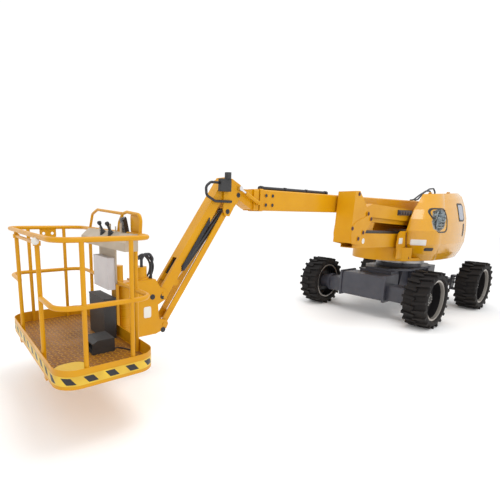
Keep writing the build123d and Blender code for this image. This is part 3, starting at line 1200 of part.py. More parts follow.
# ---------------------------------------------------------------- platform bracket and rotator
BRACKET_FRONT = ROTATOR_X - 75
BRACKET_TOP = 1080.0
with BuildPart() as platform_bracket:
    for y in (-CHEEK_FACE, CHEEK_Y):
        plate([(BRACKET_FRONT, BRACKET_TOP), (5560, BRACKET_TOP), (5500, 985), (5430, 945), (5405, 897), (5430, 850),
               (5530, 800), (5520, 640), (5420, 610), (5405, 567), (5430, 520), (5560, 480), (BRACKET_FRONT, 480)],
              y, y + CHEEK_T)
    block(BRACKET_FRONT - BRACKET_BACK_T, BRACKET_FRONT, -CHEEK_Y, CHEEK_Y, 480, BRACKET_TOP)
    block(5560, BRACKET_FRONT, -CHEEK_Y, CHEEK_Y, BRACKET_TOP - BRACKET_TOP_T, BRACKET_TOP)
    headed_pin(JIB_BOTTOM, JIB_PIN_R, -CHEEK_FACE, CHEEK_FACE)
    for hand in (1, -1):
        low, high = sorted((hand * (JIB_TIE_Y - JIB_LUG_GAP), hand * (CHEEK_FACE + PIN_HEAD_T)))
        pin(JIB_TIE_BOTTOM, JIB_PIN_R, low, high)
    upright(ACTUATOR_X, 0, ACTUATOR_R, BRACKET_TOP, BRACKET_TOP + ACTUATOR_H)
    upright(ACTUATOR_X, 0, ACTUATOR_R + ACTUATOR_FLANGE, BRACKET_TOP, BRACKET_TOP + ACTUATOR_FLANGE_T)
finish(platform_bracket.part, "platform_bracket")

with BuildPart() as bracket_hose:
    tube([(x, BRACKET_HOSE_Y, z) for x, z in BRACKET_HOSE], HOSE_R, BRACKET_HOSE_BEND)
finish(bracket_hose.part, "bracket_hose")

with BuildPart() as rotator:
    upright(ROTATOR_X, 0, ROTATOR_R, ROTATOR_BOTTOM, ROTATOR_TOP)
    for number in range(ROTATOR_RIBS):
        z = ROTATOR_BOTTOM + (number + 0.5) * (ROTATOR_TOP - ROTATOR_BOTTOM) / ROTATOR_RIBS
        upright(ROTATOR_X, 0, ROTATOR_R + MOUNT_LIP, z - MOUNT_LIP, z + MOUNT_LIP)
    block(BRACKET_FRONT, ROTATOR_X, -ROTATOR_R, ROTATOR_R, ROTATOR_BOTTOM + MOUNT_T, ROTATOR_TOP - MOUNT_T)
finish(rotator.part, "rotator")

# ---------------------------------------------------------------- basket
INNER_SIDE = BASKET_X - BASKET_W / 2
FLOOR_TOP = FLOOR_BOTTOM + FLOOR_T
RAIL_INSET = TOE_T + RAIL_R + RUNNING
RAIL_NEAR = INNER_SIDE + RAIL_INSET
RAIL_FAR = BASKET_X + BASKET_W / 2 - RAIL_INSET
RAIL_END = BASKET_L / 2 - RAIL_INSET

with BuildPart() as basket_mount:
    for z in (ROTATOR_TOP, ROTATOR_BOTTOM - MOUNT_T):
        upright(ROTATOR_X, 0, ROTATOR_R + MOUNT_LIP, z, z + MOUNT_T)
        block(ROTATOR_X, INNER_SIDE, -MOUNT_HALF_W, MOUNT_HALF_W, z, z + MOUNT_T)
    block(INNER_SIDE - MOUNT_T, INNER_SIDE, -MOUNT_HALF_W, MOUNT_HALF_W, ROTATOR_BOTTOM - MOUNT_T, ROTATOR_TOP + MOUNT_T)
    upright(DRUM_X, 0, DRUM_R, ROTATOR_TOP + MOUNT_T, ROTATOR_TOP + MOUNT_T + DRUM_H)
finish(basket_mount.part, "basket_mount")

with BuildPart() as basket_floor:
    for z, inset, height in ((FLOOR_BOTTOM, 0.0, FLOOR_T), (FLOOR_TOP, TOE_T, TOE_H - FLOOR_T)):
        with BuildSketch(plan(z)) as tray:
            with Locations((BASKET_X, 0)):
                RectangleRounded(BASKET_W, BASKET_L, BASKET_CORNER)
                if inset:
                    RectangleRounded(BASKET_W - 2 * inset, BASKET_L - 2 * inset, BASKET_CORNER - inset,
                                     mode=Mode.SUBTRACT)
        extrude(tray.sketch, amount=height)
    bay = (BASKET_L - 2 * BASKET_CORNER) / FLOOR_BAYS
    for number in range(FLOOR_BAYS):
        start_y = number * bay - BASKET_L / 2 + BASKET_CORNER
        block(INNER_SIDE + 2 * FLOOR_RIB, BASKET_X + BASKET_W / 2 - 2 * FLOOR_RIB, start_y + FLOOR_RIB / 2,
              start_y + bay - FLOOR_RIB / 2, FLOOR_BOTTOM, FLOOR_TOP - FLOOR_SKIN, Mode.SUBTRACT)
    for y in TOE_LUG_Y:
        block(BASKET_X + BASKET_W / 2 - 2 * FLOOR_RIB, BASKET_X + BASKET_W / 2 - TOE_T, y - TOE_LUG_HALF_W,
              y + TOE_LUG_HALF_W, FLOOR_BOTTOM - TOE_LUG_H, FLOOR_BOTTOM)
finish(basket_floor.part, "basket_floor")

POSTS = (
    # x and y of the upright posts
    (RAIL_NEAR, -INNER_POST_Y), (RAIL_NEAR, INNER_POST_Y), (RAIL_FAR, -GATE_HALF_W), (RAIL_FAR, GATE_HALF_W),
    (BASKET_X - END_POST_X, -RAIL_END), (BASKET_X + END_POST_X, -RAIL_END), (BASKET_X - END_POST_X, RAIL_END),
    (BASKET_X + END_POST_X, RAIL_END),
)
with BuildPart() as basket_rails:
    tube([
        (RAIL_NEAR, RAIL_END, RAIL_TOP_Z), (RAIL_FAR, RAIL_END, RAIL_TOP_Z), (RAIL_FAR, -RAIL_END, RAIL_TOP_Z),
        (RAIL_NEAR, -RAIL_END, RAIL_TOP_Z),
    ], RAIL_R, BASKET_CORNER - RAIL_INSET, True)
    tube([
        (RAIL_FAR, GATE_HALF_W, RAIL_MIDDLE_Z), (RAIL_FAR, RAIL_END, RAIL_MIDDLE_Z),
        (RAIL_NEAR, RAIL_END, RAIL_MIDDLE_Z), (RAIL_NEAR, -RAIL_END, RAIL_MIDDLE_Z),
        (RAIL_FAR, -RAIL_END, RAIL_MIDDLE_Z), (RAIL_FAR, -GATE_HALF_W, RAIL_MIDDLE_Z),
    ], RAIL_R, BASKET_CORNER - RAIL_INSET)
    for x, y in POSTS:
        upright(x, y, POST_R, FLOOR_TOP, RAIL_TOP_Z)
    for guard in GUARDS:
        tube([(RAIL_NEAR, y, z) for y, z in guard], GUARD_R, GUARD_BEND)
    block(ANCHOR_X[0], ANCHOR_X[1], -RAIL_END - ANCHOR_T / 2, -RAIL_END + ANCHOR_T / 2, ANCHOR_BOTTOM, RAIL_TOP_Z)
    for x in ANCHOR_HOLES_X:
        pin((x, ANCHOR_HOLE_Z), ANCHOR_HOLE_R, -RAIL_END - ANCHOR_T, -RAIL_END + ANCHOR_T, Mode.SUBTRACT)
finish(basket_rails.part, "basket_rails")

with BuildPart() as gate_bar:
    pin((RAIL_FAR, GATE_Z), GATE_R, -GATE_HALF_W, GATE_HALF_W)
    for y in (-GATE_HALF_W, GATE_HALF_W):
        upright(RAIL_FAR, y, GATE_COLLAR_R, GATE_Z - GATE_COLLAR_HALF_H, GATE_Z + GATE_COLLAR_HALF_H)
        upright(RAIL_FAR, y, POST_R + RUNNING, GATE_Z - GATE_COLLAR_HALF_H, GATE_Z + GATE_COLLAR_HALF_H,
                Mode.SUBTRACT)
finish(gate_bar.part, "gate_bar")

# ---------------------------------------------------------------- console and what stands in the basket
CONSOLE_X = RAIL_NEAR + RAIL_R
with BuildPart() as console:
    plate([(CONSOLE_X, CONSOLE_BOTTOM), (CONSOLE_X + CONSOLE_DEPTH, CONSOLE_BOTTOM),
           (CONSOLE_X + CONSOLE_DEPTH, CONSOLE_BOTTOM + CONSOLE_FRONT_H), (CONSOLE_X + CONSOLE_TOP_L, CONSOLE_TOP),
           (CONSOLE_X, CONSOLE_TOP)], CONSOLE_Y[0], CONSOLE_Y[1])
    block(CONSOLE_X, CONSOLE_X + CONSOLE_BACK_T, -CONSOLE_PANEL_HALF_W, CONSOLE_PANEL_HALF_W,
          RAIL_MIDDLE_Z, CONSOLE_BOTTOM)
    for y, radius, height in STICKS:
        upright(CONSOLE_X + CONSOLE_TOP_L, y, radius, CONSOLE_BOTTOM + CONSOLE_FRONT_H, CONSOLE_TOP + height)
finish(console.part, "console")

with BuildPart() as document_box:
    back = CONSOLE_X + CONSOLE_BACK_T
    block(back, back + BOOK_BOX_T, BOOK_BOX_Y[0], BOOK_BOX_Y[1], BOOK_BOX_Z[0], BOOK_BOX_Z[1])
    block(back + BOX_WALL, back + BOOK_BOX_T - BOX_WALL, BOOK_BOX_Y[0] + BOX_WALL, BOOK_BOX_Y[1] - BOX_WALL,
          BOOK_BOX_Z[0] + BOX_WALL, BOOK_BOX_Z[1] - BOX_LID_T, Mode.SUBTRACT)
finish(document_box.part, "document_box")

with BuildPart() as tool_box:
    block(CONSOLE_X, CONSOLE_X + TOOL_BOX_T, TOOL_BOX_Y[0], TOOL_BOX_Y[1], FLOOR_TOP, TOOL_BOX_TOP)
    block(CONSOLE_X, CONSOLE_X + TOOL_BOX_T + BOX_WALL, TOOL_BOX_Y[0] - BOX_WALL, TOOL_BOX_Y[1] + BOX_WALL,
          TOOL_BOX_TOP - BOX_LID_T, TOOL_BOX_TOP)
finish(tool_box.part, "tool_box")

with BuildPart() as foot_switch:
    plate([(SWITCH_X[0], FLOOR_TOP), (SWITCH_X[1], FLOOR_TOP), (SWITCH_X[1], FLOOR_TOP + SWITCH_H - 25),
           (SWITCH_X[1] - 45, FLOOR_TOP + SWITCH_H), (SWITCH_X[0], FLOOR_TOP + SWITCH_H)], SWITCH_Y[0], SWITCH_Y[1])
    plate([(SWITCH_X[0] + SWITCH_WALL, FLOOR_TOP + SWITCH_WALL), (SWITCH_X[1] + 1, FLOOR_TOP + SWITCH_WALL),
           (SWITCH_X[1] + 1, FLOOR_TOP + SWITCH_H - 25 - SWITCH_WALL),
           (SWITCH_X[1] - 45, FLOOR_TOP + SWITCH_H - SWITCH_WALL),
           (SWITCH_X[0] + SWITCH_WALL, FLOOR_TOP + SWITCH_H - SWITCH_WALL)],
          SWITCH_Y[0] + SWITCH_WALL, SWITCH_Y[1] - SWITCH_WALL, Mode.SUBTRACT)
    plate([(SWITCH_X[0] + SWITCH_WALL, FLOOR_TOP + SWITCH_WALL), (SWITCH_X[1] - 20, FLOOR_TOP + SWITCH_WALL),
           (SWITCH_X[1] - 20, FLOOR_TOP + SWITCH_WALL + PEDAL_T), (SWITCH_X[0] + SWITCH_WALL, FLOOR_TOP + SWITCH_LOW_H + PEDAL_T)],
          SWITCH_Y[0] + 3 * SWITCH_WALL, SWITCH_Y[1] - 3 * SWITCH_WALL)
finish(foot_switch.part, "foot_switch")

with BuildPart() as foot_switch_cable:
    tube(CABLE, CABLE_R, CABLE_BEND)
finish(foot_switch_cable.part, "foot_switch_cable")

with BuildPart() as boom_hoses:
    for y, points in BOOM_HOSES:
        tube([(x, y, z) for x, z in points], HOSE_R, HOSE_BEND)
finish(boom_hoses.part, "boom_hoses")
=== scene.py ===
"""Scene of the articulated boom lift: finishes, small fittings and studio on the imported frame."""
import math

import bmesh
import bpy
from mathutils import Matrix, Vector
from mathutils.bvhtree import BVHTree


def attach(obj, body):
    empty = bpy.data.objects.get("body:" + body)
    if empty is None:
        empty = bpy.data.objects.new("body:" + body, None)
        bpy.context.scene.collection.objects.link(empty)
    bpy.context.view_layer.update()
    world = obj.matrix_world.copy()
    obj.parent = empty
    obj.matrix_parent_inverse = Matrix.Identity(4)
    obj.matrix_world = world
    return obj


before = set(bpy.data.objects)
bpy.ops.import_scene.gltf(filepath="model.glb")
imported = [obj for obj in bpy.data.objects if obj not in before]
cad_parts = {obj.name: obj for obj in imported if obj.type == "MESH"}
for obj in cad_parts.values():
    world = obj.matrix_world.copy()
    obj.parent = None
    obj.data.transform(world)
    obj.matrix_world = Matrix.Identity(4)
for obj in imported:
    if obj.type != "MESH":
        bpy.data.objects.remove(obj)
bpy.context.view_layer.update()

# ---------------------------------------------------------------- camera
# It stands at the basket's end of the machine, at eye height, and looks back along the boom, a little down.
# Its shift brings the whole machine into the frame without turning it.
CAMERA_PLACE = (4.7425, 3.35, 1.788)
CAMERA_YAW = math.radians(-126.972)
CAMERA_DOWN = math.radians(10.581)
CAMERA_ROLL = math.radians(1.138)
CAMERA_LENS = 25.72
CAMERA_SENSOR = 36.0
CAMERA_SHIFT = (0.0905, 0.0562)

lens = bpy.data.cameras.new("view")
lens.sensor_width = CAMERA_SENSOR
lens.lens = CAMERA_LENS
lens.shift_x, lens.shift_y = CAMERA_SHIFT
camera = bpy.data.objects.new("view", lens)
bpy.context.collection.objects.link(camera)
forward = Vector((math.cos(CAMERA_YAW) * math.cos(CAMERA_DOWN), math.sin(CAMERA_YAW) * math.cos(CAMERA_DOWN),
                  -math.sin(CAMERA_DOWN)))
level = Vector((math.sin(CAMERA_YAW), -math.cos(CAMERA_YAW), 0.0))
upward = level.cross(forward)
right = level * math.cos(CAMERA_ROLL) + upward * math.sin(CAMERA_ROLL)
up = upward * math.cos(CAMERA_ROLL) - level * math.sin(CAMERA_ROLL)
camera.matrix_world = Matrix.Translation(CAMERA_PLACE) @ Matrix((
    (right.x, up.x, -forward.x, 0), (right.y, up.y, -forward.y, 0), (right.z, up.z, -forward.z, 0),
    (0, 0, 0, 1)))
bpy.context.scene.camera = camera

# ---------------------------------------------------------------- studio floor and light
# A pale seamless floor under an even white studio, so that shadows stay soft.
# One broad lamp hangs overhead and a weaker one stands on the camera's side.
FLOOR_COLOUR = (0.965, 0.965, 0.965)
FLOOR_ROUGHNESS = 0.9
FLOOR_REACH = 40
SKY_COLOUR = (1.0, 1.0, 1.0)
SKY_STRENGTH = 1.05
LAMPS = (
    # name, place, aim, size, power
    ("overhead", (1.0, 1.0, 9.0), (0.5, 0.0, 1.0), 5.0, 260.0),
    ("camera_side", (4.0, 9.0, 5.0), (0.0, 0.0, 1.0), 5.0, 90.0),
)


def blank_material(name):
    """A material with its Principled shader, for the caller to finish."""
    material = bpy.data.materials.new(name)
    material.use_nodes = True
    return material, material.node_tree, material.node_tree.nodes["Principled BSDF"]


floor_material, _, floor_shader = blank_material("studio_floor")
floor_shader.inputs["Base Color"].default_value = (*FLOOR_COLOUR, 1)
floor_shader.inputs["Roughness"].default_value = FLOOR_ROUGHNESS
floor_mesh = bpy.data.meshes.new("studio_floor")
floor_mesh.from_pydata([(-FLOOR_REACH, -FLOOR_REACH, 0), (FLOOR_REACH, -FLOOR_REACH, 0),
                        (FLOOR_REACH, FLOOR_REACH, 0), (-FLOOR_REACH, FLOOR_REACH, 0)], [], [(0, 1, 2, 3)])
floor = bpy.data.objects.new("studio_floor", floor_mesh)
floor.data.materials.append(floor_material)
bpy.context.collection.objects.link(floor)

world = bpy.data.worlds.new("studio")
world.use_nodes = True
world.node_tree.nodes["Background"].inputs["Color"].default_value = (*SKY_COLOUR, 1)
world.node_tree.nodes["Background"].inputs["Strength"].default_value = SKY_STRENGTH
bpy.context.scene.world = world
bpy.context.scene.view_settings.view_transform = "Standard"

for name, place, aim, size, power in LAMPS:
    lamp = bpy.data.lights.new(name, "AREA")
    lamp.shape = "DISK"
    lamp.size = size
    lamp.energy = power
    holder = bpy.data.objects.new(name, lamp)
    holder.matrix_world = Matrix.Translation(place) @ (
        (Vector(aim) - Vector(place)).to_track_quat("-Z", "Y").to_matrix().to_4x4())
    bpy.context.collection.objects.link(holder)

# ---------------------------------------------------------------- chassis, axles and slewing ring
# Heavy welded box sections in charcoal paint, dusty near the ground, with plain blocks of the same paint
# for the engine and the tanks. The slewing ring is machined steel, held down by hexagon bolts on washers.
SLEW_X = -2.6175
RING_BOLTS = {"radius": 0.425, "bolts": 28, "head": 0.011, "height": 0.014}
RING_BOLT_Z = 0.904
COAT_ROUGHNESS = 0.12
BUMP_STRENGTH = 0.35
SHARP_ANGLE = math.radians(40)
DUST_SCALE = 7.0
DUST_DETAIL = 8.0
DUST_PATCHES = (0.35, 0.7)
WASHER_SPREAD = 1.35
WASHER_SHARE = 0.35
WASHER_SIDES = 16
HEAD_SIDES = 6


def wire(tree, source, target):
    """Joins two sockets of a node tree, each given as (node, socket name or number)."""
    tree.links.new(source[0].outputs[source[1]], target[0].inputs[target[1]])


def feed(tree, node, socket, term):
    """Gives an input of a node its term: a number, a colour or (node, socket)."""
    if isinstance(term, (int, float)):
        node.inputs[socket].default_value = term
    elif isinstance(term[0], float):
        node.inputs[socket].default_value = (*term, 1)
    else:
        wire(tree, term, (node, socket))


def reckoned(tree, operation, *terms):
    """A maths node on its terms."""
    node = tree.nodes.new("ShaderNodeMath")
    node.operation = operation
    for number, term in enumerate(terms):
        feed(tree, node, number, term)
    return (node, "Value")


def ranged(tree, value, from_low, from_high, to_low, to_high):
    """A value moved from one range to another, and held inside it."""
    node = tree.nodes.new("ShaderNodeMapRange")
    for socket, term in (("Value", value), ("From Min", from_low), ("From Max", from_high), ("To Min", to_low),
                         ("To Max", to_high)):
        feed(tree, node, socket, term)
    return (node, "Result")


def mixed(tree, factor, first, second):
    """A colour mixed from two."""
    node = tree.nodes.new("ShaderNodeMix")
    node.data_type = "RGBA"
    for number, term in ((0, factor), (6, first), (7, second)):
        feed(tree, node, number, term)
    return (node, 2)


def noise_at(tree, scale, detail):
    """Noise on the piece's own coordinates."""
    place = tree.nodes.new("ShaderNodeTexCoord")
    noise = tree.nodes.new("ShaderNodeTexNoise")
    noise.inputs["Detail"].default_value = detail
    wire(tree, (place, "Object"), (noise, "Vector"))
    feed(tree, noise, "Scale", scale)
    return (noise, "Fac")


def group_of(name, inputs, output):
    """An empty shader group with these inputs and one value out, with its two end nodes."""
    tree = bpy.data.node_groups.new(name, "ShaderNodeTree")
    for socket in inputs:
        tree.interface.new_socket(socket, in_out="INPUT", socket_type="NodeSocketFloat")
    tree.interface.new_socket(output, in_out="OUTPUT", socket_type="NodeSocketFloat")
    return tree, tree.nodes.new("NodeGroupInput"), tree.nodes.new("NodeGroupOutput")


def noise_group(name, detail, low, high):
    """A group that puts out a soft mottled mask between low and high."""
    tree, entry, leave = group_of(name, ("Scale",), "Mask")
    wire(tree, ranged(tree, noise_at(tree, (entry, "Scale"), detail), low, high, 0.0, 1.0), (leave, "Mask"))
    return tree


def dust_group():
    """A group that puts out settled dust: more near the ground, fading out at Height, broken up by noise."""
    tree, entry, leave = group_of("settled_dust", ("Height", "Amount"), "Dust")
    place = tree.nodes.new("ShaderNodeTexCoord")
    split = tree.nodes.new("ShaderNodeSeparateXYZ")
    wire(tree, (place, "Object"), (split, "Vector"))
    rise = ranged(tree, (split, "Z"), 0.0, (entry, "Height"), 1.0, 0.0)
    patch = ranged(tree, noise_at(tree, DUST_SCALE, DUST_DETAIL), *DUST_PATCHES, 0.0, 1.0)
    wire(tree, reckoned(tree, "MULTIPLY", reckoned(tree, "MULTIPLY", rise, patch), (entry, "Amount")),
         (leave, "Dust"))
    return tree


MOTTLE = noise_group("soft_mottle", detail=6.0, low=0.3, high=0.7)
PEEL = noise_group("orange_peel", detail=2.0, low=0.2, high=0.8)
DUST = dust_group()


def placed(tree, group, **values):
    """A node group set into a material's tree with its own values."""
    node = tree.nodes.new("ShaderNodeGroup")
    node.node_tree = group
    for key, value in values.items():
        node.inputs[key].default_value = value
    return node


def layered(name, base, wear_and_shade, roughness, spread, metal=0.0, coat=0.0, specular=0.5, dust=0.1, dust_height=0.9,
            dust_colour=(0.32, 0.27, 0.2), bump=0.0006, bump_scale=260.0, mottle_scale=3.0):
    """A finish in layers: mottled colour, settled dust, uneven gloss and a fine surface bump."""
    material, tree, shader = blank_material(name)
    mottle = (placed(tree, MOTTLE, Scale=mottle_scale), "Mask")
    settled = (placed(tree, DUST, Amount=dust, Height=dust_height), "Dust")
    skin = (placed(tree, PEEL, Scale=bump_scale), "Mask")
    colour = mixed(tree, settled, mixed(tree, mottle, base, wear_and_shade), dust_colour)
    wire(tree, colour, (shader, "Base Color"))
    wire(tree, ranged(tree, mottle, 0.0, 1.0, roughness - spread, roughness + spread), (shader, "Roughness"))
    relief = tree.nodes.new("ShaderNodeBump")
    relief.inputs["Strength"].default_value = BUMP_STRENGTH
    relief.inputs["Distance"].default_value = bump
    wire(tree, skin, (relief, "Height"))
    wire(tree, (relief, "Normal"), (shader, "Normal"))
    shader.inputs["Metallic"].default_value = metal
    shader.inputs["Coat Weight"].default_value = coat
    shader.inputs["Coat Roughness"].default_value = COAT_ROUGHNESS
    shader.inputs["Specular IOR Level"].default_value = specular
    return material


def dress(material, *names):
    """Gives carried-over CAD nodes this finish."""
    for name in names:
        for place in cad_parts[name].material_slots:
            place.material = material


def piece(name, bm, material, body):
    """Makes a finished piece of this mesh, in this finish, riding on this body."""
    bmesh.ops.recalc_face_normals(bm, faces=bm.faces)
    mesh = bpy.data.meshes.new(name)
    bm.to_mesh(mesh)
    bm.free()
    mesh.materials.clear()
    mesh.materials.append(material)
    for face in mesh.polygons:
        face.material_index = 0
    mesh.shade_smooth()
    mesh.set_sharp_from_angle(angle=SHARP_ANGLE)
    obj = bpy.data.objects.new(name, mesh)
    bpy.context.collection.objects.link(obj)
    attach(obj, body)


def grower(name, inputs):
    """An empty geometry tree with these named inputs, with its two end nodes."""
    tree = bpy.data.node_groups.new(name, "GeometryNodeTree")
    tree.interface.new_socket("Geometry", in_out="OUTPUT", socket_type="NodeSocketGeometry")
    for socket, kind in inputs:
        tree.interface.new_socket(socket, in_out="INPUT", socket_type="NodeSocket" + kind)
    return tree, tree.nodes.new("NodeGroupInput"), tree.nodes.new("NodeGroupOutput")


def spread_out(tree, points, shape, finish, leave, turn=None):
    """Ends a geometry tree: the shape on every point, made real and given its finish."""
    spread = tree.nodes.new("GeometryNodeInstanceOnPoints")
    real = tree.nodes.new("GeometryNodeRealizeInstances")
    coat = tree.nodes.new("GeometryNodeSetMaterial")
    wire(tree, points, (spread, "Points"))
    wire(tree, shape, (spread, "Instance"))
    if turn:
        wire(tree, turn, (spread, "Rotation"))
    wire(tree, (spread, "Instances"), (real, "Geometry"))
    wire(tree, (real, "Geometry"), (coat, "Geometry"))
    wire(tree, finish, (coat, "Material"))
    wire(tree, (coat, "Geometry"), (leave, "Geometry"))


def grown(tree, name, **inputs):
    """Runs a geometry tree with these named inputs and returns the plain mesh that it makes."""
    carrier = bpy.data.objects.new(name, bpy.data.meshes.new(name))
    bpy.context.collection.objects.link(carrier)
    growth = carrier.modifiers.new(name, "NODES")
    growth.node_group = tree
    for socket in tree.interface.items_tree:
        if socket.in_out == "INPUT":
            growth[socket.identifier] = inputs[socket.name.replace(" ", "_").lower()]
    bpy.context.view_layer.update()
    mesh = bpy.data.meshes.new_from_object(carrier.evaluated_get(bpy.context.evaluated_depsgraph_get()))
    carrier.modifiers.clear()
    bpy.data.objects.remove(carrier)
    return mesh


def bolt_ring_tree():
    """Geometry nodes: a ring of hexagon bolts on washers, lying in the XY plane."""
    tree, entry, leave = grower("bolt_ring", (("Ring Radius", "Float"), ("Bolts", "Int"), ("Head Radius", "Float"),
                                              ("Head Height", "Float"), ("Steel", "Material")))
    ring = tree.nodes.new("GeometryNodeMeshCircle")
    head = tree.nodes.new("GeometryNodeMeshCylinder")
    head.inputs["Vertices"].default_value = HEAD_SIDES
    washer = tree.nodes.new("GeometryNodeMeshCylinder")
    washer.inputs["Vertices"].default_value = WASHER_SIDES
    both = tree.nodes.new("GeometryNodeJoinGeometry")
    wire(tree, (entry, "Ring Radius"), (ring, "Radius"))
    wire(tree, (entry, "Bolts"), (ring, "Vertices"))
    wire(tree, (entry, "Head Radius"), (head, "Radius"))
    wire(tree, (entry, "Head Height"), (head, "Depth"))
    wire(tree, reckoned(tree, "MULTIPLY", (entry, "Head Radius"), WASHER_SPREAD), (washer, "Radius"))
    wire(tree, reckoned(tree, "MULTIPLY", (entry, "Head Height"), WASHER_SHARE), (washer, "Depth"))
    wire(tree, (head, "Mesh"), (both, "Geometry"))
    wire(tree, (washer, "Mesh"), (both, "Geometry"))
    spread_out(tree, (ring, "Mesh"), (both, "Geometry"), (entry, "Steel"), leave)
    return tree


BOLT_TREE = bolt_ring_tree()
bolt_steel = layered("zinc_steel", (0.62, 0.61, 0.58), (0.45, 0.44, 0.42), roughness=0.34, spread=0.1, metal=0.9,
                     dust=0.2)


def ring_of_bolts(bm, centre, axis, radius, bolts, head, height):
    """Adds one ring of bolts to a piece, standing on the plane through centre across axis."""
    mesh = grown(BOLT_TREE, "ring", ring_radius=radius, bolts=bolts, head_radius=head, head_height=height,
                 steel=bolt_steel)
    mesh.transform(Matrix.Translation(centre) @ Vector(axis).to_track_quat("Z", "Y").to_matrix().to_4x4())
    bm.from_mesh(mesh)
    bpy.data.meshes.remove(mesh)


charcoal_paint = layered("charcoal_paint", (0.030, 0.031, 0.044), (0.048, 0.049, 0.064), roughness=0.42,
                         spread=0.12, coat=0.15, dust=0.3, dust_colour=(0.13, 0.12, 0.12))
bare_steel = layered("bare_steel", (0.5, 0.49, 0.47), (0.38, 0.37, 0.36), roughness=0.38, spread=0.1, metal=0.9,
                     dust=0.3)
dress(charcoal_paint, "chassis_frame", "fixed_axle", "steer_axle", "knuckle_left", "knuckle_right", "tie_rod",
      "steer_cylinder_barrel", "engine_block", "tank_block", "arm_valve")
dress(bare_steel, "slew_ring", "steer_cylinder_rod")
deck_bolts = bmesh.new()
ring_of_bolts(deck_bolts, (SLEW_X, 0, RING_BOLT_Z), (0, 0, 1), **RING_BOLTS)
piece("slew_ring_bolts", deck_bolts, bolt_steel, "chassis")

# ---------------------------------------------------------------- tyres, rims and wheel studs
# Foam-filled rough-terrain tyres in black rubber, greyed by dust, on pressed and welded rims.
# Each rim is off-white at its lip, with painted shade making its dish and barrel dark inside the lip, and is
# studded to the hub reduction.
AXLE_X = 1.085
AXLE_Z = 0.46
DISH_RADIUS = 0.308
# Painted shade: the near-black colour of the rim's dish and barrel inside its lip.
DISH_SHADE_COLOUR = (0.022, 0.020, 0.021)
LIP_FROM = 1.095
STUD_RINGS = (
    # place of the ring along the axle, then its bolts
    (0.944, {"radius": 0.158, "bolts": 9, "head": 0.015, "height": 0.022}),
    (1.031, {"radius": 0.100, "bolts": 10, "head": 0.012, "height": 0.018}),
    (1.055, {"radius": 0.060, "bolts": 8, "head": 0.010, "height": 0.014}),
)

tyre_rubber = layered("tyre_rubber", (0.007, 0.006, 0.006), (0.015, 0.013, 0.013), roughness=0.7, spread=0.12,
                      specular=0.22, dust=0.22, dust_height=0.75, dust_colour=(0.09, 0.075, 0.06), bump=0.0015,
                      bump_scale=120.0)
rim_paint = layered("rim_paint", (0.50, 0.47, 0.43), (0.36, 0.33, 0.30), roughness=0.32, spread=0.1, metal=0.35,
                    dust=0.3)


def paint_dish_shade(tree, shader):
    """Paints shade into the rim inside its lip, dark over the dish and barrel, around whichever wheel's axis is
    nearest.
    """
    place = tree.nodes.new("ShaderNodeTexCoord")
    split = tree.nodes.new("ShaderNodeSeparateXYZ")
    wire(tree, (place, "Object"), (split, "Vector"))
    along = reckoned(tree, "ABSOLUTE", reckoned(tree, "ADD", (split, "X"), -SLEW_X))
    x = reckoned(tree, "SUBTRACT", along, AXLE_X)
    z = reckoned(tree, "SUBTRACT", (split, "Z"), AXLE_Z)
    squares = reckoned(tree, "ADD", reckoned(tree, "MULTIPLY", x, x), reckoned(tree, "MULTIPLY", z, z))
    inside = reckoned(tree, "LESS_THAN", squares, DISH_RADIUS ** 2)
    behind_lip = reckoned(tree, "LESS_THAN", reckoned(tree, "ABSOLUTE", (split, "Y")), LIP_FROM)
    paint = shader.inputs["Base Color"].links[0].from_socket.node
    dish = reckoned(tree, "MULTIPLY", behind_lip, inside)
    wire(tree, mixed(tree, dish, (paint, 2), DISH_SHADE_COLOUR), (shader, "Base Color"))


paint_dish_shade(rim_paint.node_tree, rim_paint.node_tree.nodes["Principled BSDF"])
for end, x in (("front", SLEW_X + AXLE_X), ("rear", SLEW_X - AXLE_X)):
    for side, sign in (("left", 1), ("right", -1)):
        dress(tyre_rubber, f"tyre_{end}_{side}")
        dress(rim_paint, f"rim_{end}_{side}")
        studs = bmesh.new()
        for y, ring in STUD_RINGS:
            ring_of_bolts(studs, (x, sign * y, AXLE_Z), (0, sign, 0), **ring)
        piece(f"wheel_studs_{end}_{side}", studs, bolt_steel, f"wheel_{end}_{side}")

# ---------------------------------------------------------------- turret, arms, boom, jib and basket steel
# Welded steel sprayed with golden yellow two-pack paint, with a little orange peel and road dust.
# The turret deck, the arms, the boom, the jib, the bracket and the basket's frame all have it.
YELLOW = (0.64, 0.305, 0.001)
yellow_paint = layered("yellow_paint", YELLOW, (0.58, 0.26, 0.003), roughness=0.36, spread=0.08, coat=0.1,
                       specular=0.22, dust=0.12, bump=0.0004)
dress(yellow_paint, "turret_base", "counterweight", "rotator", "lower_arm", "mid_knuckle", "upper_arm",
      "upper_tie", "upper_knuckle", "outer_boom", "inner_boom", "level_cylinder_barrel", "jib_head", "jib_beam",
      "jib_tie", "platform_bracket", "basket_mount", "basket_floor", "basket_rails", "gate_bar")

# ---------------------------------------------------------------- cylinders
# Hydraulic cylinders with barrels in black paint and rods in hard chrome, pinned at both ends.
# The lower arm's tie has the same black paint, which serves as painted shade where the tie shows in the dark
# opening of the arm.
black_paint = layered("black_paint", (0.012, 0.012, 0.013), (0.03, 0.03, 0.032), roughness=0.4, spread=0.1,
                      coat=0.2, dust=0.2)
chrome = layered("hard_chrome", (0.78, 0.78, 0.8), (0.7, 0.7, 0.72), roughness=0.12, spread=0.04, metal=1.0,
                 dust=0.0, bump=0.0001)
dress(black_paint, "lift_cylinder_barrel", "boom_cylinder_barrel", "jib_cylinder_barrel", "lower_tie")
dress(chrome, "lift_cylinder_rod", "boom_cylinder_rod", "jib_cylinder_rod", "level_cylinder_rod")

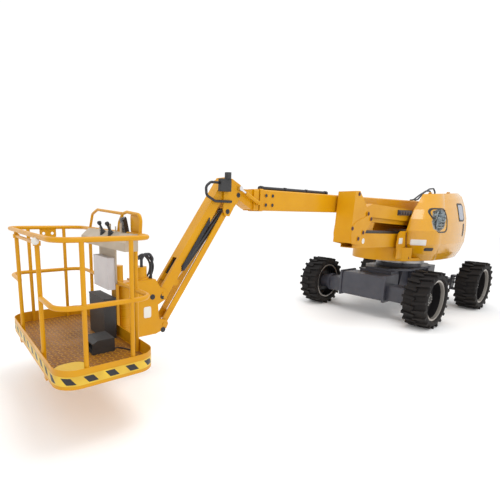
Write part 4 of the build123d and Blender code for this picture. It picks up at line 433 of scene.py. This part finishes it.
# ---------------------------------------------------------------- pivot pin caps and boom wear pads
# Each pivot pin ends in a turned cap with a keeper bolt in its middle. The arms' caps keep their dark
# red-brown primer, and the jib's are black. Round black nylon pads guide the sliding boom at its mouth.
CAP = ((0, -0.002), (0.029, -0.002), (0.029, 0.004), (0.025, 0.007), (0.012, 0.007), (0.011, 0.012),
       (0.0, 0.013))
PAD = ((0, -0.003), (0.021, -0.003), (0.021, 0.003), (0.018, 0.006), (0.006, 0.006), (0, 0.003))
CAP_SIDES = 28
CAPS = (
    # body, finish, places (x, y, z) of the caps
    ("mid_knuckle", "primer", ((SLEW_X + 2.310, 0.436, 1.430), (SLEW_X + 2.190, 0.436, 1.520),
                               (SLEW_X + 2.090, 0.436, 1.800), (SLEW_X + 1.999, 0.436, 1.723),
                               (SLEW_X + 2.3635, 0.420, 2.080), (SLEW_X + 2.4765, 0.428, 1.584))),
    ("upper_knuckle", "primer", ((SLEW_X - 0.756, 0.428, 1.651), (SLEW_X - 0.847, 0.428, 1.574))),
    ("jib_head", "black", ((SLEW_X + 4.440, 0.101, 1.985), (SLEW_X + 4.600, 0.101, 2.120),
                           (SLEW_X + 4.600, 0.101, 1.790))),
    ("bracket", "black", ((2.858, 0.101, 0.882), (2.979, 0.101, 0.892), (2.854, 0.101, 0.510))),
)
CAP_BODIES = {"bracket": "platform_bracket"}
PAD_X = (SLEW_X + 3.970, SLEW_X + 3.850)
PAD_Y = 0.105
PAD_Z = (1.882, 1.998)

pin_primer = layered("pin_primer", (0.085, 0.012, 0.008), (0.05, 0.008, 0.006), roughness=0.38, spread=0.1,
                     coat=0.2)
moulded_black = layered("moulded_black", (0.012, 0.012, 0.014), (0.025, 0.025, 0.028), roughness=0.5, spread=0.1)


def banded(bm, low, high):
    """Adds a closed band of faces between two rings of the same count."""
    for k in range(len(low)):
        near = (k + 1) % len(low)
        bm.faces.new((low[k], low[near], high[near], high[k]))


def fanned(bm, ring, tip):
    """Closes a ring with faces that meet at one point."""
    for k in range(len(ring)):
        bm.faces.new((ring[k], ring[(k + 1) % len(ring)], tip))


def turned(bm, centre, axis, profile, sides=CAP_SIDES):
    """Adds a solid of revolution. Its profile is (radius, height) from the foot up, on the axis at both ends."""
    turn = Vector(axis).to_track_quat("Z", "Y").to_matrix()
    rings = []
    for radius, height in profile:
        rings.append([bm.verts.new(Vector(centre) + turn @ Vector((
            radius * math.cos(2 * math.pi * k / sides), radius * math.sin(2 * math.pi * k / sides), height)))
            for k in range(sides if radius else 1)])
    for low, high in zip(rings, rings[1:]):
        if len(low) == 1:
            fanned(bm, high, low[0])
        elif len(high) == 1:
            fanned(bm, low, high[0])
        else:
            banded(bm, low, high)


for group, finish, places in CAPS:
    caps = bmesh.new()
    for place in places:
        turned(caps, place, (0, 1, 0), CAP)
    piece(f"pin_caps_{group}", caps, pin_primer if finish == "primer" else moulded_black,
          CAP_BODIES.get(group, group))
pads = bmesh.new()
for x in PAD_X:
    for z in PAD_Z:
        for sign in (1, -1):
            turned(pads, (x, sign * PAD_Y, z), (0, sign, 0), PAD)
piece("boom_pads", pads, moulded_black, "outer_boom")

# ---------------------------------------------------------------- hydraulic hoses
# Rubber hoses with a ribbed outer braid, clipped in bundles. Those beside and inside the jib and over its
# bracket are added here. Each bundle stays on one body, so nothing stretches when a joint moves.
HOSE_SIDES = 10
HOSE_STEPS = 8
HOSE_START_SIDE = (0.3, 0.9, 0.2)
JIB_TOP = Vector((SLEW_X + 4.600, 0.0, 2.120))
JIB_RUN = Vector((0.8564, 0.0, -1.2230))
OUTER_HOSE_DROPS = (-0.055, -0.078, -0.101)
OUTER_HOSE_RADIUS = 0.0095
OUTER_HOSE_RUN = (
    # share of the jib's length, place across it
    (0.285, 0.066), (0.31, 0.087), (0.45, 0.088), (0.58, 0.087), (0.70, 0.088), (0.725, 0.066),
)
INNER_HOSES = (
    # place across the jib, lift above its axis
    (-0.057, 0.022), (-0.057, -0.002), (0.057, 0.022), (0.057, -0.002),
)
INNER_HOSE_RUN = (0.70, 0.78, 0.86, 0.90)
INNER_HOSE_RADIUS = 0.011
ACTUATOR_HOSE_RADIUS = 0.011
ACTUATOR_HOSES = (
    ((3.02, -0.03, 1.05), (2.95, -0.03, 1.13), (2.94, -0.036, 1.24), (3.02, -0.03, 1.33), (3.10, -0.024, 1.29)),
    ((3.02, 0.03, 1.05), (2.95, 0.03, 1.13), (2.94, 0.036, 1.24), (3.02, 0.03, 1.33), (3.10, 0.024, 1.29)),
)

hose_rubber = layered("hose_rubber", (0.010, 0.010, 0.014), (0.022, 0.022, 0.03), roughness=0.42, spread=0.1,
                      dust=0.05, bump=0.002, bump_scale=160.0)
dress(hose_rubber, "hose_tube", "boom_hoses", "head_hose", "bracket_hose", "foot_switch_cable")


def smooth_path(points):
    """One smooth curve through the points, in short straight steps."""
    knots = [Vector(point) for point in points]
    knots = [2 * knots[0] - knots[1]] + knots + [2 * knots[-1] - knots[-2]]
    path = []
    for a, b, c, d in zip(knots, knots[1:], knots[2:], knots[3:]):
        for k in range(HOSE_STEPS):
            t = k / HOSE_STEPS
            path.append(0.5 * (2 * b + (c - a) * t + (2 * a - 5 * b + 4 * c - d) * t * t
                               + (3 * b - a - 3 * c + d) * t * t * t))
    path.append(knots[-2])
    return path


def hose(bm, points, radius):
    """Adds a hose of this radius along one smooth curve through the points, closed at both ends."""
    path = smooth_path(points)
    side = Vector(HOSE_START_SIDE)
    loops = []
    for k, spot in enumerate(path):
        ahead = (path[min(k + 1, len(path) - 1)] - path[max(k - 1, 0)]).normalized()
        side = (side - ahead * side.dot(ahead)).normalized()
        other = ahead.cross(side)
        loops.append([bm.verts.new(spot + radius * (side * math.cos(2 * math.pi * n / HOSE_SIDES)
                                                    + other * math.sin(2 * math.pi * n / HOSE_SIDES)))
                      for n in range(HOSE_SIDES)])
    for low, high in zip(loops, loops[1:]):
        banded(bm, low, high)
    for loop, spot in ((loops[0], path[0]), (loops[-1], path[-1])):
        fanned(bm, loop, bm.verts.new(spot))


jib_hoses = bmesh.new()
for drop in OUTER_HOSE_DROPS:
    hose(jib_hoses, [JIB_TOP + JIB_RUN * share + Vector((0.0, across, drop)) for share, across in OUTER_HOSE_RUN],
         OUTER_HOSE_RADIUS)
for across, lift in INNER_HOSES:
    hose(jib_hoses, [JIB_TOP + JIB_RUN * share + Vector((0.0, across, lift)) for share in INNER_HOSE_RUN],
         INNER_HOSE_RADIUS)
piece("jib_hoses", jib_hoses, hose_rubber, "jib_beam")
actuator_hoses = bmesh.new()
for points in ACTUATOR_HOSES:
    hose(actuator_hoses, points, ACTUATOR_HOSE_RADIUS)
piece("actuator_hoses", actuator_hoses, hose_rubber, "platform_bracket")

# ---------------------------------------------------------------- hoods and their fittings
# Glass-fibre hoods with a glossy gelcoat in the machine's yellow. The left one carries a woven wire screen
# in a black rubber frame, a pull latch, a finger slot and a bare grey plate, which follow its curve.
# A dark red rubber seal runs down the turret where the hood meets it.
ALONG_HOOD = (-1, 0, 0)
UPRIGHT = (0, 0, 1)
UNDER_SURFACE = -0.002
CAST_FROM = 0.2
OUTLINE_STEP = 0.015
CORNER_STEPS = 5
FITTING_LIFT = 0.006
SCREEN_PLACE = (-2.2325, 0.79, 1.713)
SCREEN_SIZE = (0.36, 0.36, 0.12)
FRAME_PLACE = (-2.2500, 0.79, 1.713)
FRAME_SIZE = (0.375, 0.42, 0.11)
FRAME_INSIDE = 0.90
LATCH_PLACE = (-2.055, 0.735, 1.215)
LATCH_ALONG = (-0.14, 0.064, 0)
LATCH_SIZE = (0.15, 0.055, 0.02)
LATCH_LIFT = 0.012
SLOT_PLACE = (-3.2605, 0.819, 1.536)
SLOT_SIZE = (0.075, 0.24, 0.035)
SLOT_LIFT = 0.003
REAR_PLATE_PLACE = (-3.105, 0.79, 1.86)
REAR_PLATE_SIZE = (0.26, 0.27, 0.05)
REAR_PLATE_LIFT = 0.005
REAR_EDGE_SIZE = (0.32, 0.33, 0.06)
REAR_EDGE_INSIDE = 0.82
SEAL_PATH = ((-1.771, 0.461, 1.50), (-1.790, 0.461, 1.38), (-1.812, 0.462, 1.28), (-1.822, 0.50, 1.16),
             (-1.828, 0.53, 1.04))
SEAL_RADIUS = 0.007

hood_gelcoat = layered("hood_gelcoat", YELLOW, (0.60, 0.28, 0.003), roughness=0.24, spread=0.06, coat=0.45,
                       bump=0.0002)
screen_wire = layered("screen_wire", (0.30, 0.36, 0.38), (0.05, 0.06, 0.07), roughness=0.42, spread=0.12,
                      metal=0.5, bump=0.002, bump_scale=180.0, mottle_scale=26.0)
plate_grey = layered("plate_grey", (0.30, 0.32, 0.38), (0.42, 0.43, 0.47), roughness=0.4, spread=0.1)
grey_plastic = layered("grey_plastic", (0.36, 0.33, 0.28), (0.3, 0.28, 0.24), roughness=0.55, spread=0.06)
seam_red = layered("seam_red", (0.16, 0.016, 0.006), (0.09, 0.01, 0.005), roughness=0.5, spread=0.1)
dress(hood_gelcoat, "hood_left", "hood_right")
dress(grey_plastic, "hood_grille")


def cornered(half_width, half_height, radius, steps):
    """A closed path round four arcs, whose middles lie half_width and half_height away from its own."""
    points = []
    for quarter, (across, upward) in enumerate(((1, 1), (-1, 1), (-1, -1), (1, -1))):
        for k in range(steps + 1):
            angle = math.pi / 2 * (quarter + k / steps)
            points.append((across * half_width + radius * math.cos(angle),
                           upward * half_height + radius * math.sin(angle)))
    return points + points[:1]


def rounded(width, height, radius):
    """The outline of a rounded rectangle about its own middle, in short steps."""
    points = cornered(width / 2 - radius, height / 2 - radius, radius, CORNER_STEPS)
    fine = []
    for (u, v), (next_u, next_v) in zip(points, points[1:]):
        parts = max(1, math.ceil(math.hypot(next_u - u, next_v - v) / OUTLINE_STEP))
        fine += [(u + (next_u - u) * k / parts, v + (next_v - v) * k / parts) for k in range(parts)]
    return fine


def surface_of(node):
    """The surface of a CAD node, for pieces that lie on it."""
    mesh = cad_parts[node].data
    return BVHTree.FromPolygons([vertex.co for vertex in mesh.vertices],
                                [face.vertices for face in mesh.polygons])


def laid(bm, surface, origin, across, upward, outline, lift, start=0.0, rings=12):
    """Adds a thin plate, or from start > 0 a frame, that follows a curved surface under the plane given."""
    across, upward = Vector(across).normalized(), Vector(upward).normalized()
    outward = across.cross(upward)
    shares = [1 - (1 - start) * k / rings for k in range(rings + (1 if start else 0))]

    def dropped(u, v, height):
        above = Vector(origin) + across * u + upward * v + outward * CAST_FROM
        spot = surface.ray_cast(above, -outward)[0] or above - outward * CAST_FROM
        return bm.verts.new(spot + outward * height)

    layers = []
    for height in (lift, UNDER_SURFACE):
        loops = [[dropped(u * share, v * share, height) for u, v in outline] for share in shares]
        for wide, narrow in zip(loops, loops[1:]):
            banded(bm, wide, narrow)
        if not start:
            fanned(bm, loops[-1], dropped(0, 0, height))
        layers.append(loops)
    for edge in (0, -1) if start else (0,):
        banded(bm, layers[1][edge], layers[0][edge])


def laid_piece(name, node, place, across, outline, lift, material, body, **shape):
    """Makes a piece of one thin plate on an upright surface."""
    plate = bmesh.new()
    laid(plate, surface_of(node), place, across, UPRIGHT, outline, lift, **shape)
    piece(name, plate, material, body)


laid_piece("hood_screen", "hood_grille", SCREEN_PLACE, ALONG_HOOD, rounded(*SCREEN_SIZE), FITTING_LIFT,
           screen_wire, "hood_left")
laid_piece("hood_screen_frame", "hood_left", FRAME_PLACE, ALONG_HOOD, rounded(*FRAME_SIZE), FITTING_LIFT,
           moulded_black, "hood_left", start=FRAME_INSIDE, rings=4)
latch = bmesh.new()
laid(latch, surface_of("hood_left"), LATCH_PLACE, LATCH_ALONG, UPRIGHT, rounded(*LATCH_SIZE), LATCH_LIFT)
laid(latch, surface_of("hood_left"), SLOT_PLACE, ALONG_HOOD, UPRIGHT, rounded(*SLOT_SIZE), SLOT_LIFT)
piece("hood_latch", latch, moulded_black, "hood_left")
laid_piece("hood_rear_plate", "hood_left", REAR_PLATE_PLACE, ALONG_HOOD, rounded(*REAR_PLATE_SIZE),
           REAR_PLATE_LIFT, plate_grey, "hood_left")
laid_piece("hood_rear_plate_edge", "hood_left", REAR_PLATE_PLACE, ALONG_HOOD, rounded(*REAR_EDGE_SIZE),
           FITTING_LIFT, moulded_black, "hood_left", start=REAR_EDGE_INSIDE, rings=2)
seal = bmesh.new()
hose(seal, SEAL_PATH, SEAL_RADIUS)
piece("hood_seal", seal, seam_red, "turret")

# ---------------------------------------------------------------- bare plates
# Small plates of white enamel, stuck to the hood, the turret, the arms' knuckle and the jib's bracket.
# They are left without any writing.
PLATE_LIFT = 0.0025
PLATES = (
    # name, node, body, place, along, outline
    ("hood", "hood_left", "hood_left", (-1.900, 0.62, 1.333), (-0.47, 0.88, 0), rounded(0.24, 0.10, 0.012)),
    ("cover", "turret_base", "turret", (-1.61, 0.456, 1.356), (-1, 0, 0), rounded(0.13, 0.10, 0.012)),
    ("knuckle", "mid_knuckle", "mid_knuckle", (-0.463, 0.428, 1.390), (-1, 0, 0), rounded(0.07, 0.085, 0.034)),
    ("bracket", "platform_bracket", "platform_bracket", (3.041, 0.102, 0.735), (-1, 0, 0),
     rounded(0.085, 0.12, 0.02)),
)
label_white = layered("label_white", (0.78, 0.77, 0.72), (0.62, 0.61, 0.58), roughness=0.45, spread=0.08,
                      dust=0.15)
for name, node, body, place, along, outline in PLATES:
    laid_piece(f"bare_plate_{name}", node, place, along, outline, PLATE_LIFT, label_white, body)

# ---------------------------------------------------------------- basket floor and toe board
# The floor is chequer plate inside a bent toe board. Its dark brown and its bars' darker yellow are painted shade,
# and it carries settled dust.
# A strip of black and lemon tape runs round the toe board, and one floor corner is lemon yellow.
FLOOR_TOP = 0.540
BASKET_MIDDLE = (3.7625, 0.0)
FLOOR_OUTLINE = rounded(0.77, 1.77, 0.155)
TREAD = {"length": 0.66, "width": 1.66, "rows": 17, "columns": 41, "bar": (0.034, 0.008, 0.005)}
TREAD_LIFT = 0.001
WORN_LIFT = 0.0012
CORNER_PLACE = (3.985, 0.66, FLOOR_TOP)
CORNER_OUTLINE = rounded(0.26, 0.32, 0.10)
CORNER_LIFT = 0.007
TAPE_LOW = 0.528
TAPE_HIGH = 0.602
TAPE_BEAT = 0.164
TAPE_LEAN = 0.8
TAPE_BLACK_SHARE = 0.45
TAPE_BLACK = (0.012, 0.011, 0.012)
TAPE_LEMON = (0.74, 0.50, 0.03)
TAPE_LEMON_WORN = (0.58, 0.34, 0.02)
TAPE_WEAR_SCALE = 9.0
TAPE_ROUGHNESS = (0.3, 0.5)
TAPE_MARK_REACH = 0.026
TAPE_RADIUS = 0.1712
TAPE_CORNERS = (0.40 - 0.17, 0.90 - 0.17)
TAPE_CORNER_STEPS = 8
TAPE_WELD = 0.0001

# Painted shade: the floor's dark brown and its chequer bars' darker yellow stand for the shade inside the basket.
# The floor also carries settled dust.
floor_paint = layered("floor_paint", (0.30, 0.115, 0.006), (0.20, 0.075, 0.008), roughness=0.5, spread=0.12,
                      dust=0.45, dust_height=1.2, dust_colour=(0.16, 0.10, 0.05), mottle_scale=5.0)
tread_paint = layered("tread_paint", (0.52, 0.25, 0.008), (0.40, 0.18, 0.01), roughness=0.42, spread=0.1)
lemon_paint = layered("lemon_paint", (0.76, 0.50, 0.025), (0.66, 0.42, 0.02), roughness=0.4, spread=0.1, dust=0.15)


def tread_tree():
    """Geometry nodes: raised bars on a grid, each turned a quarter from the next."""
    tree, entry, leave = grower("chequer_tread", (("Length", "Float"), ("Width", "Float"), ("Rows", "Int"),
                                                  ("Columns", "Int"), ("Bar", "Vector"), ("Paint", "Material")))
    grid = tree.nodes.new("GeometryNodeMeshGrid")
    bar = tree.nodes.new("GeometryNodeMeshCube")
    index = tree.nodes.new("GeometryNodeInputIndex")
    turn = tree.nodes.new("ShaderNodeCombineXYZ")
    wire(tree, (entry, "Length"), (grid, "Size X"))
    wire(tree, (entry, "Width"), (grid, "Size Y"))
    wire(tree, (entry, "Rows"), (grid, "Vertices X"))
    wire(tree, (entry, "Columns"), (grid, "Vertices Y"))
    wire(tree, (entry, "Bar"), (bar, "Size"))
    quarter = reckoned(tree, "MULTIPLY", reckoned(tree, "MODULO", (index, "Index"), 2.0), math.pi / 2)
    wire(tree, reckoned(tree, "ADD", quarter, math.pi / 4), (turn, "Z"))
    spread_out(tree, (grid, "Mesh"), (bar, "Mesh"), (entry, "Paint"), leave, turn=(turn, "Vector"))
    return tree


tread_mesh = grown(tread_tree(), "tread", paint=tread_paint, **TREAD)
tread_mesh.transform(Matrix.Translation((*BASKET_MIDDLE, FLOOR_TOP + TREAD_LIFT)))
# The floor's layer of painted shade and dust.
wear_and_shade = bmesh.new()
laid(wear_and_shade, surface_of("basket_floor"), (*BASKET_MIDDLE, FLOOR_TOP), (1, 0, 0), (0, 1, 0), FLOOR_OUTLINE, WORN_LIFT,
     rings=3)
piece("floor_worn_paint", wear_and_shade, floor_paint, "basket")
tread = bmesh.new()
tread.from_mesh(tread_mesh)
bpy.data.meshes.remove(tread_mesh)
piece("floor_tread", tread, tread_paint, "basket")
corner_plate = bmesh.new()
laid(corner_plate, surface_of("basket_floor"), CORNER_PLACE, (1, 0, 0), (0, 1, 0), CORNER_OUTLINE, CORNER_LIFT)
piece("corner_plate", corner_plate, lemon_paint, "basket")


def tape_material():
    """Lemon tape with leaning black marks, spaced along the strip's own map."""
    material, tree, shader = blank_material("warning_tape")
    place = tree.nodes.new("ShaderNodeUVMap")
    place.uv_map = "along"
    split = tree.nodes.new("ShaderNodeSeparateXYZ")
    wire(tree, (place, "UV"), (split, "Vector"))
    middle = (TAPE_HIGH - TAPE_LOW) / 2
    leaned = reckoned(tree, "ADD", reckoned(tree, "MULTIPLY", (split, "Y"), TAPE_LEAN), (split, "X"))
    beat = reckoned(tree, "FRACT", reckoned(tree, "DIVIDE", leaned, TAPE_BEAT))
    marks = reckoned(tree, "MULTIPLY", reckoned(tree, "LESS_THAN", beat, TAPE_BLACK_SHARE),
                     reckoned(tree, "COMPARE", (split, "Y"), middle, TAPE_MARK_REACH))
    worn_mask = (placed(tree, MOTTLE, Scale=TAPE_WEAR_SCALE), "Mask")
    lemon = mixed(tree, worn_mask, TAPE_LEMON, TAPE_LEMON_WORN)
    wire(tree, mixed(tree, marks, lemon, TAPE_BLACK), (shader, "Base Color"))
    wire(tree, ranged(tree, worn_mask, 0.0, 1.0, *TAPE_ROUGHNESS), (shader, "Roughness"))
    return material


tape_path = [(BASKET_MIDDLE[0] + x, BASKET_MIDDLE[1] + y)
             for x, y in cornered(*TAPE_CORNERS, TAPE_RADIUS, TAPE_CORNER_STEPS)]
strip = bmesh.new()
along = strip.loops.layers.uv.new("along")
run = 0.0
for start, end in zip(tape_path, tape_path[1:]):
    next_run = run + math.dist(start, end)
    face = strip.faces.new([strip.verts.new(spot) for spot in (
        (*start, TAPE_LOW), (*end, TAPE_LOW), (*end, TAPE_HIGH), (*start, TAPE_HIGH))])
    for loop, spot in zip(face.loops, ((run, 0), (next_run, 0), (next_run, TAPE_HIGH - TAPE_LOW),
                                       (run, TAPE_HIGH - TAPE_LOW))):
        loop[along].uv = spot
    run = next_run
bmesh.ops.remove_doubles(strip, verts=strip.verts, dist=TAPE_WELD)
piece("toe_board_tape", strip, tape_material(), "basket")

# ---------------------------------------------------------------- basket controls and fittings
# Beige moulded console with rubber-booted joysticks, a dark blank display and a steel shield beside it.
# The document box is grey, the tool box and the foot switch are black and the gate post's knob is white,
# all moulded plastic. The valve on the jib's head has the same black cover.
STICK_SIDES = 20
STICK_X = 3.470
STICK_Y = (0.05, 0.24)
STICK_Z = 1.565
STICK_LEAN = (0.35, 0, 0.94)
STICK = ((0, -0.004), (0.034, -0.004), (0.034, 0.006), (0.026, 0.012), (0.029, 0.018), (0.020, 0.026),
         (0.022, 0.032), (0.012, 0.042), (0.010, 0.085), (0.019, 0.094), (0.021, 0.110), (0.014, 0.121),
         (0, 0.124))
CHAMFER_FROM = 0.7
CHAMFER_SHARE = 0.97
SHIELD_PLACE = (3.372, 0.545, 1.672)
SHIELD_SIZE = (0.20, 0.17, 0.03)
SHIELD_HEIGHT = 0.006
DISPLAY_PLACE = (3.386, 0.375, 1.655)
DISPLAY_LEAN = (0.2, 0, 1)
DISPLAY_SIZE = (0.075, 0.15, 0.02)
DISPLAY_HEIGHT = 0.035
KNOB_PLACE = (4.153, 0.470, 1.545)
KNOB_AXIS = (0.4, 0.9, 0.1)
KNOB = ((0, -0.004), (0.012, -0.004), (0.012, 0.008), (0.024, 0.014), (0.028, 0.024), (0.024, 0.034),
        (0.010, 0.040), (0, 0.041))

black_plastic = layered("black_plastic", (0.02, 0.02, 0.021), (0.035, 0.035, 0.036), roughness=0.55, spread=0.08)
console_beige = layered("console_beige", (0.46, 0.38, 0.28), (0.36, 0.30, 0.22), roughness=0.5, spread=0.08,
                        dust=0.15)
paper_grey = layered("paper_grey", (0.62, 0.60, 0.60), (0.50, 0.48, 0.50), roughness=0.6, spread=0.08)
screen_glass = layered("screen_glass", (0.01, 0.012, 0.016), (0.02, 0.022, 0.03), roughness=0.12, spread=0.04,
                       coat=0.6, dust=0.05)
dress(black_plastic, "foot_switch", "tool_box", "head_valve")
dress(console_beige, "console")
dress(paper_grey, "document_box")


def raised(bm, origin, across, upward, outline, height):
    """Adds a flat plate with a chamfered edge, standing out of the plane through origin."""
    across, upward = Vector(across).normalized(), Vector(upward).normalized()
    outward = across.cross(upward)
    loops = [[bm.verts.new(Vector(origin) + (across * u + upward * v) * share + outward * rise)
              for u, v in outline]
             for share, rise in ((1.0, UNDER_SURFACE), (1.0, height * CHAMFER_FROM), (CHAMFER_SHARE, height))]
    for low, high in zip(loops, loops[1:]):
        banded(bm, low, high)
    bm.faces.new(loops[0])
    bm.faces.new(loops[-1])


sticks = bmesh.new()
for y in STICK_Y:
    turned(sticks, (STICK_X, y, STICK_Z), STICK_LEAN, STICK, STICK_SIDES)
piece("joysticks", sticks, moulded_black, "basket")
shield = bmesh.new()
raised(shield, SHIELD_PLACE, (0, 1, 0), UPRIGHT, rounded(*SHIELD_SIZE), SHIELD_HEIGHT)
piece("console_shield", shield, yellow_paint, "basket")
display = bmesh.new()
raised(display, DISPLAY_PLACE, (0, 1, 0), DISPLAY_LEAN, rounded(*DISPLAY_SIZE), DISPLAY_HEIGHT)
piece("console_display", display, screen_glass, "basket")
knob = bmesh.new()
turned(knob, KNOB_PLACE, KNOB_AXIS, KNOB, STICK_SIDES)
piece("gate_knob", knob, label_white, "basket")
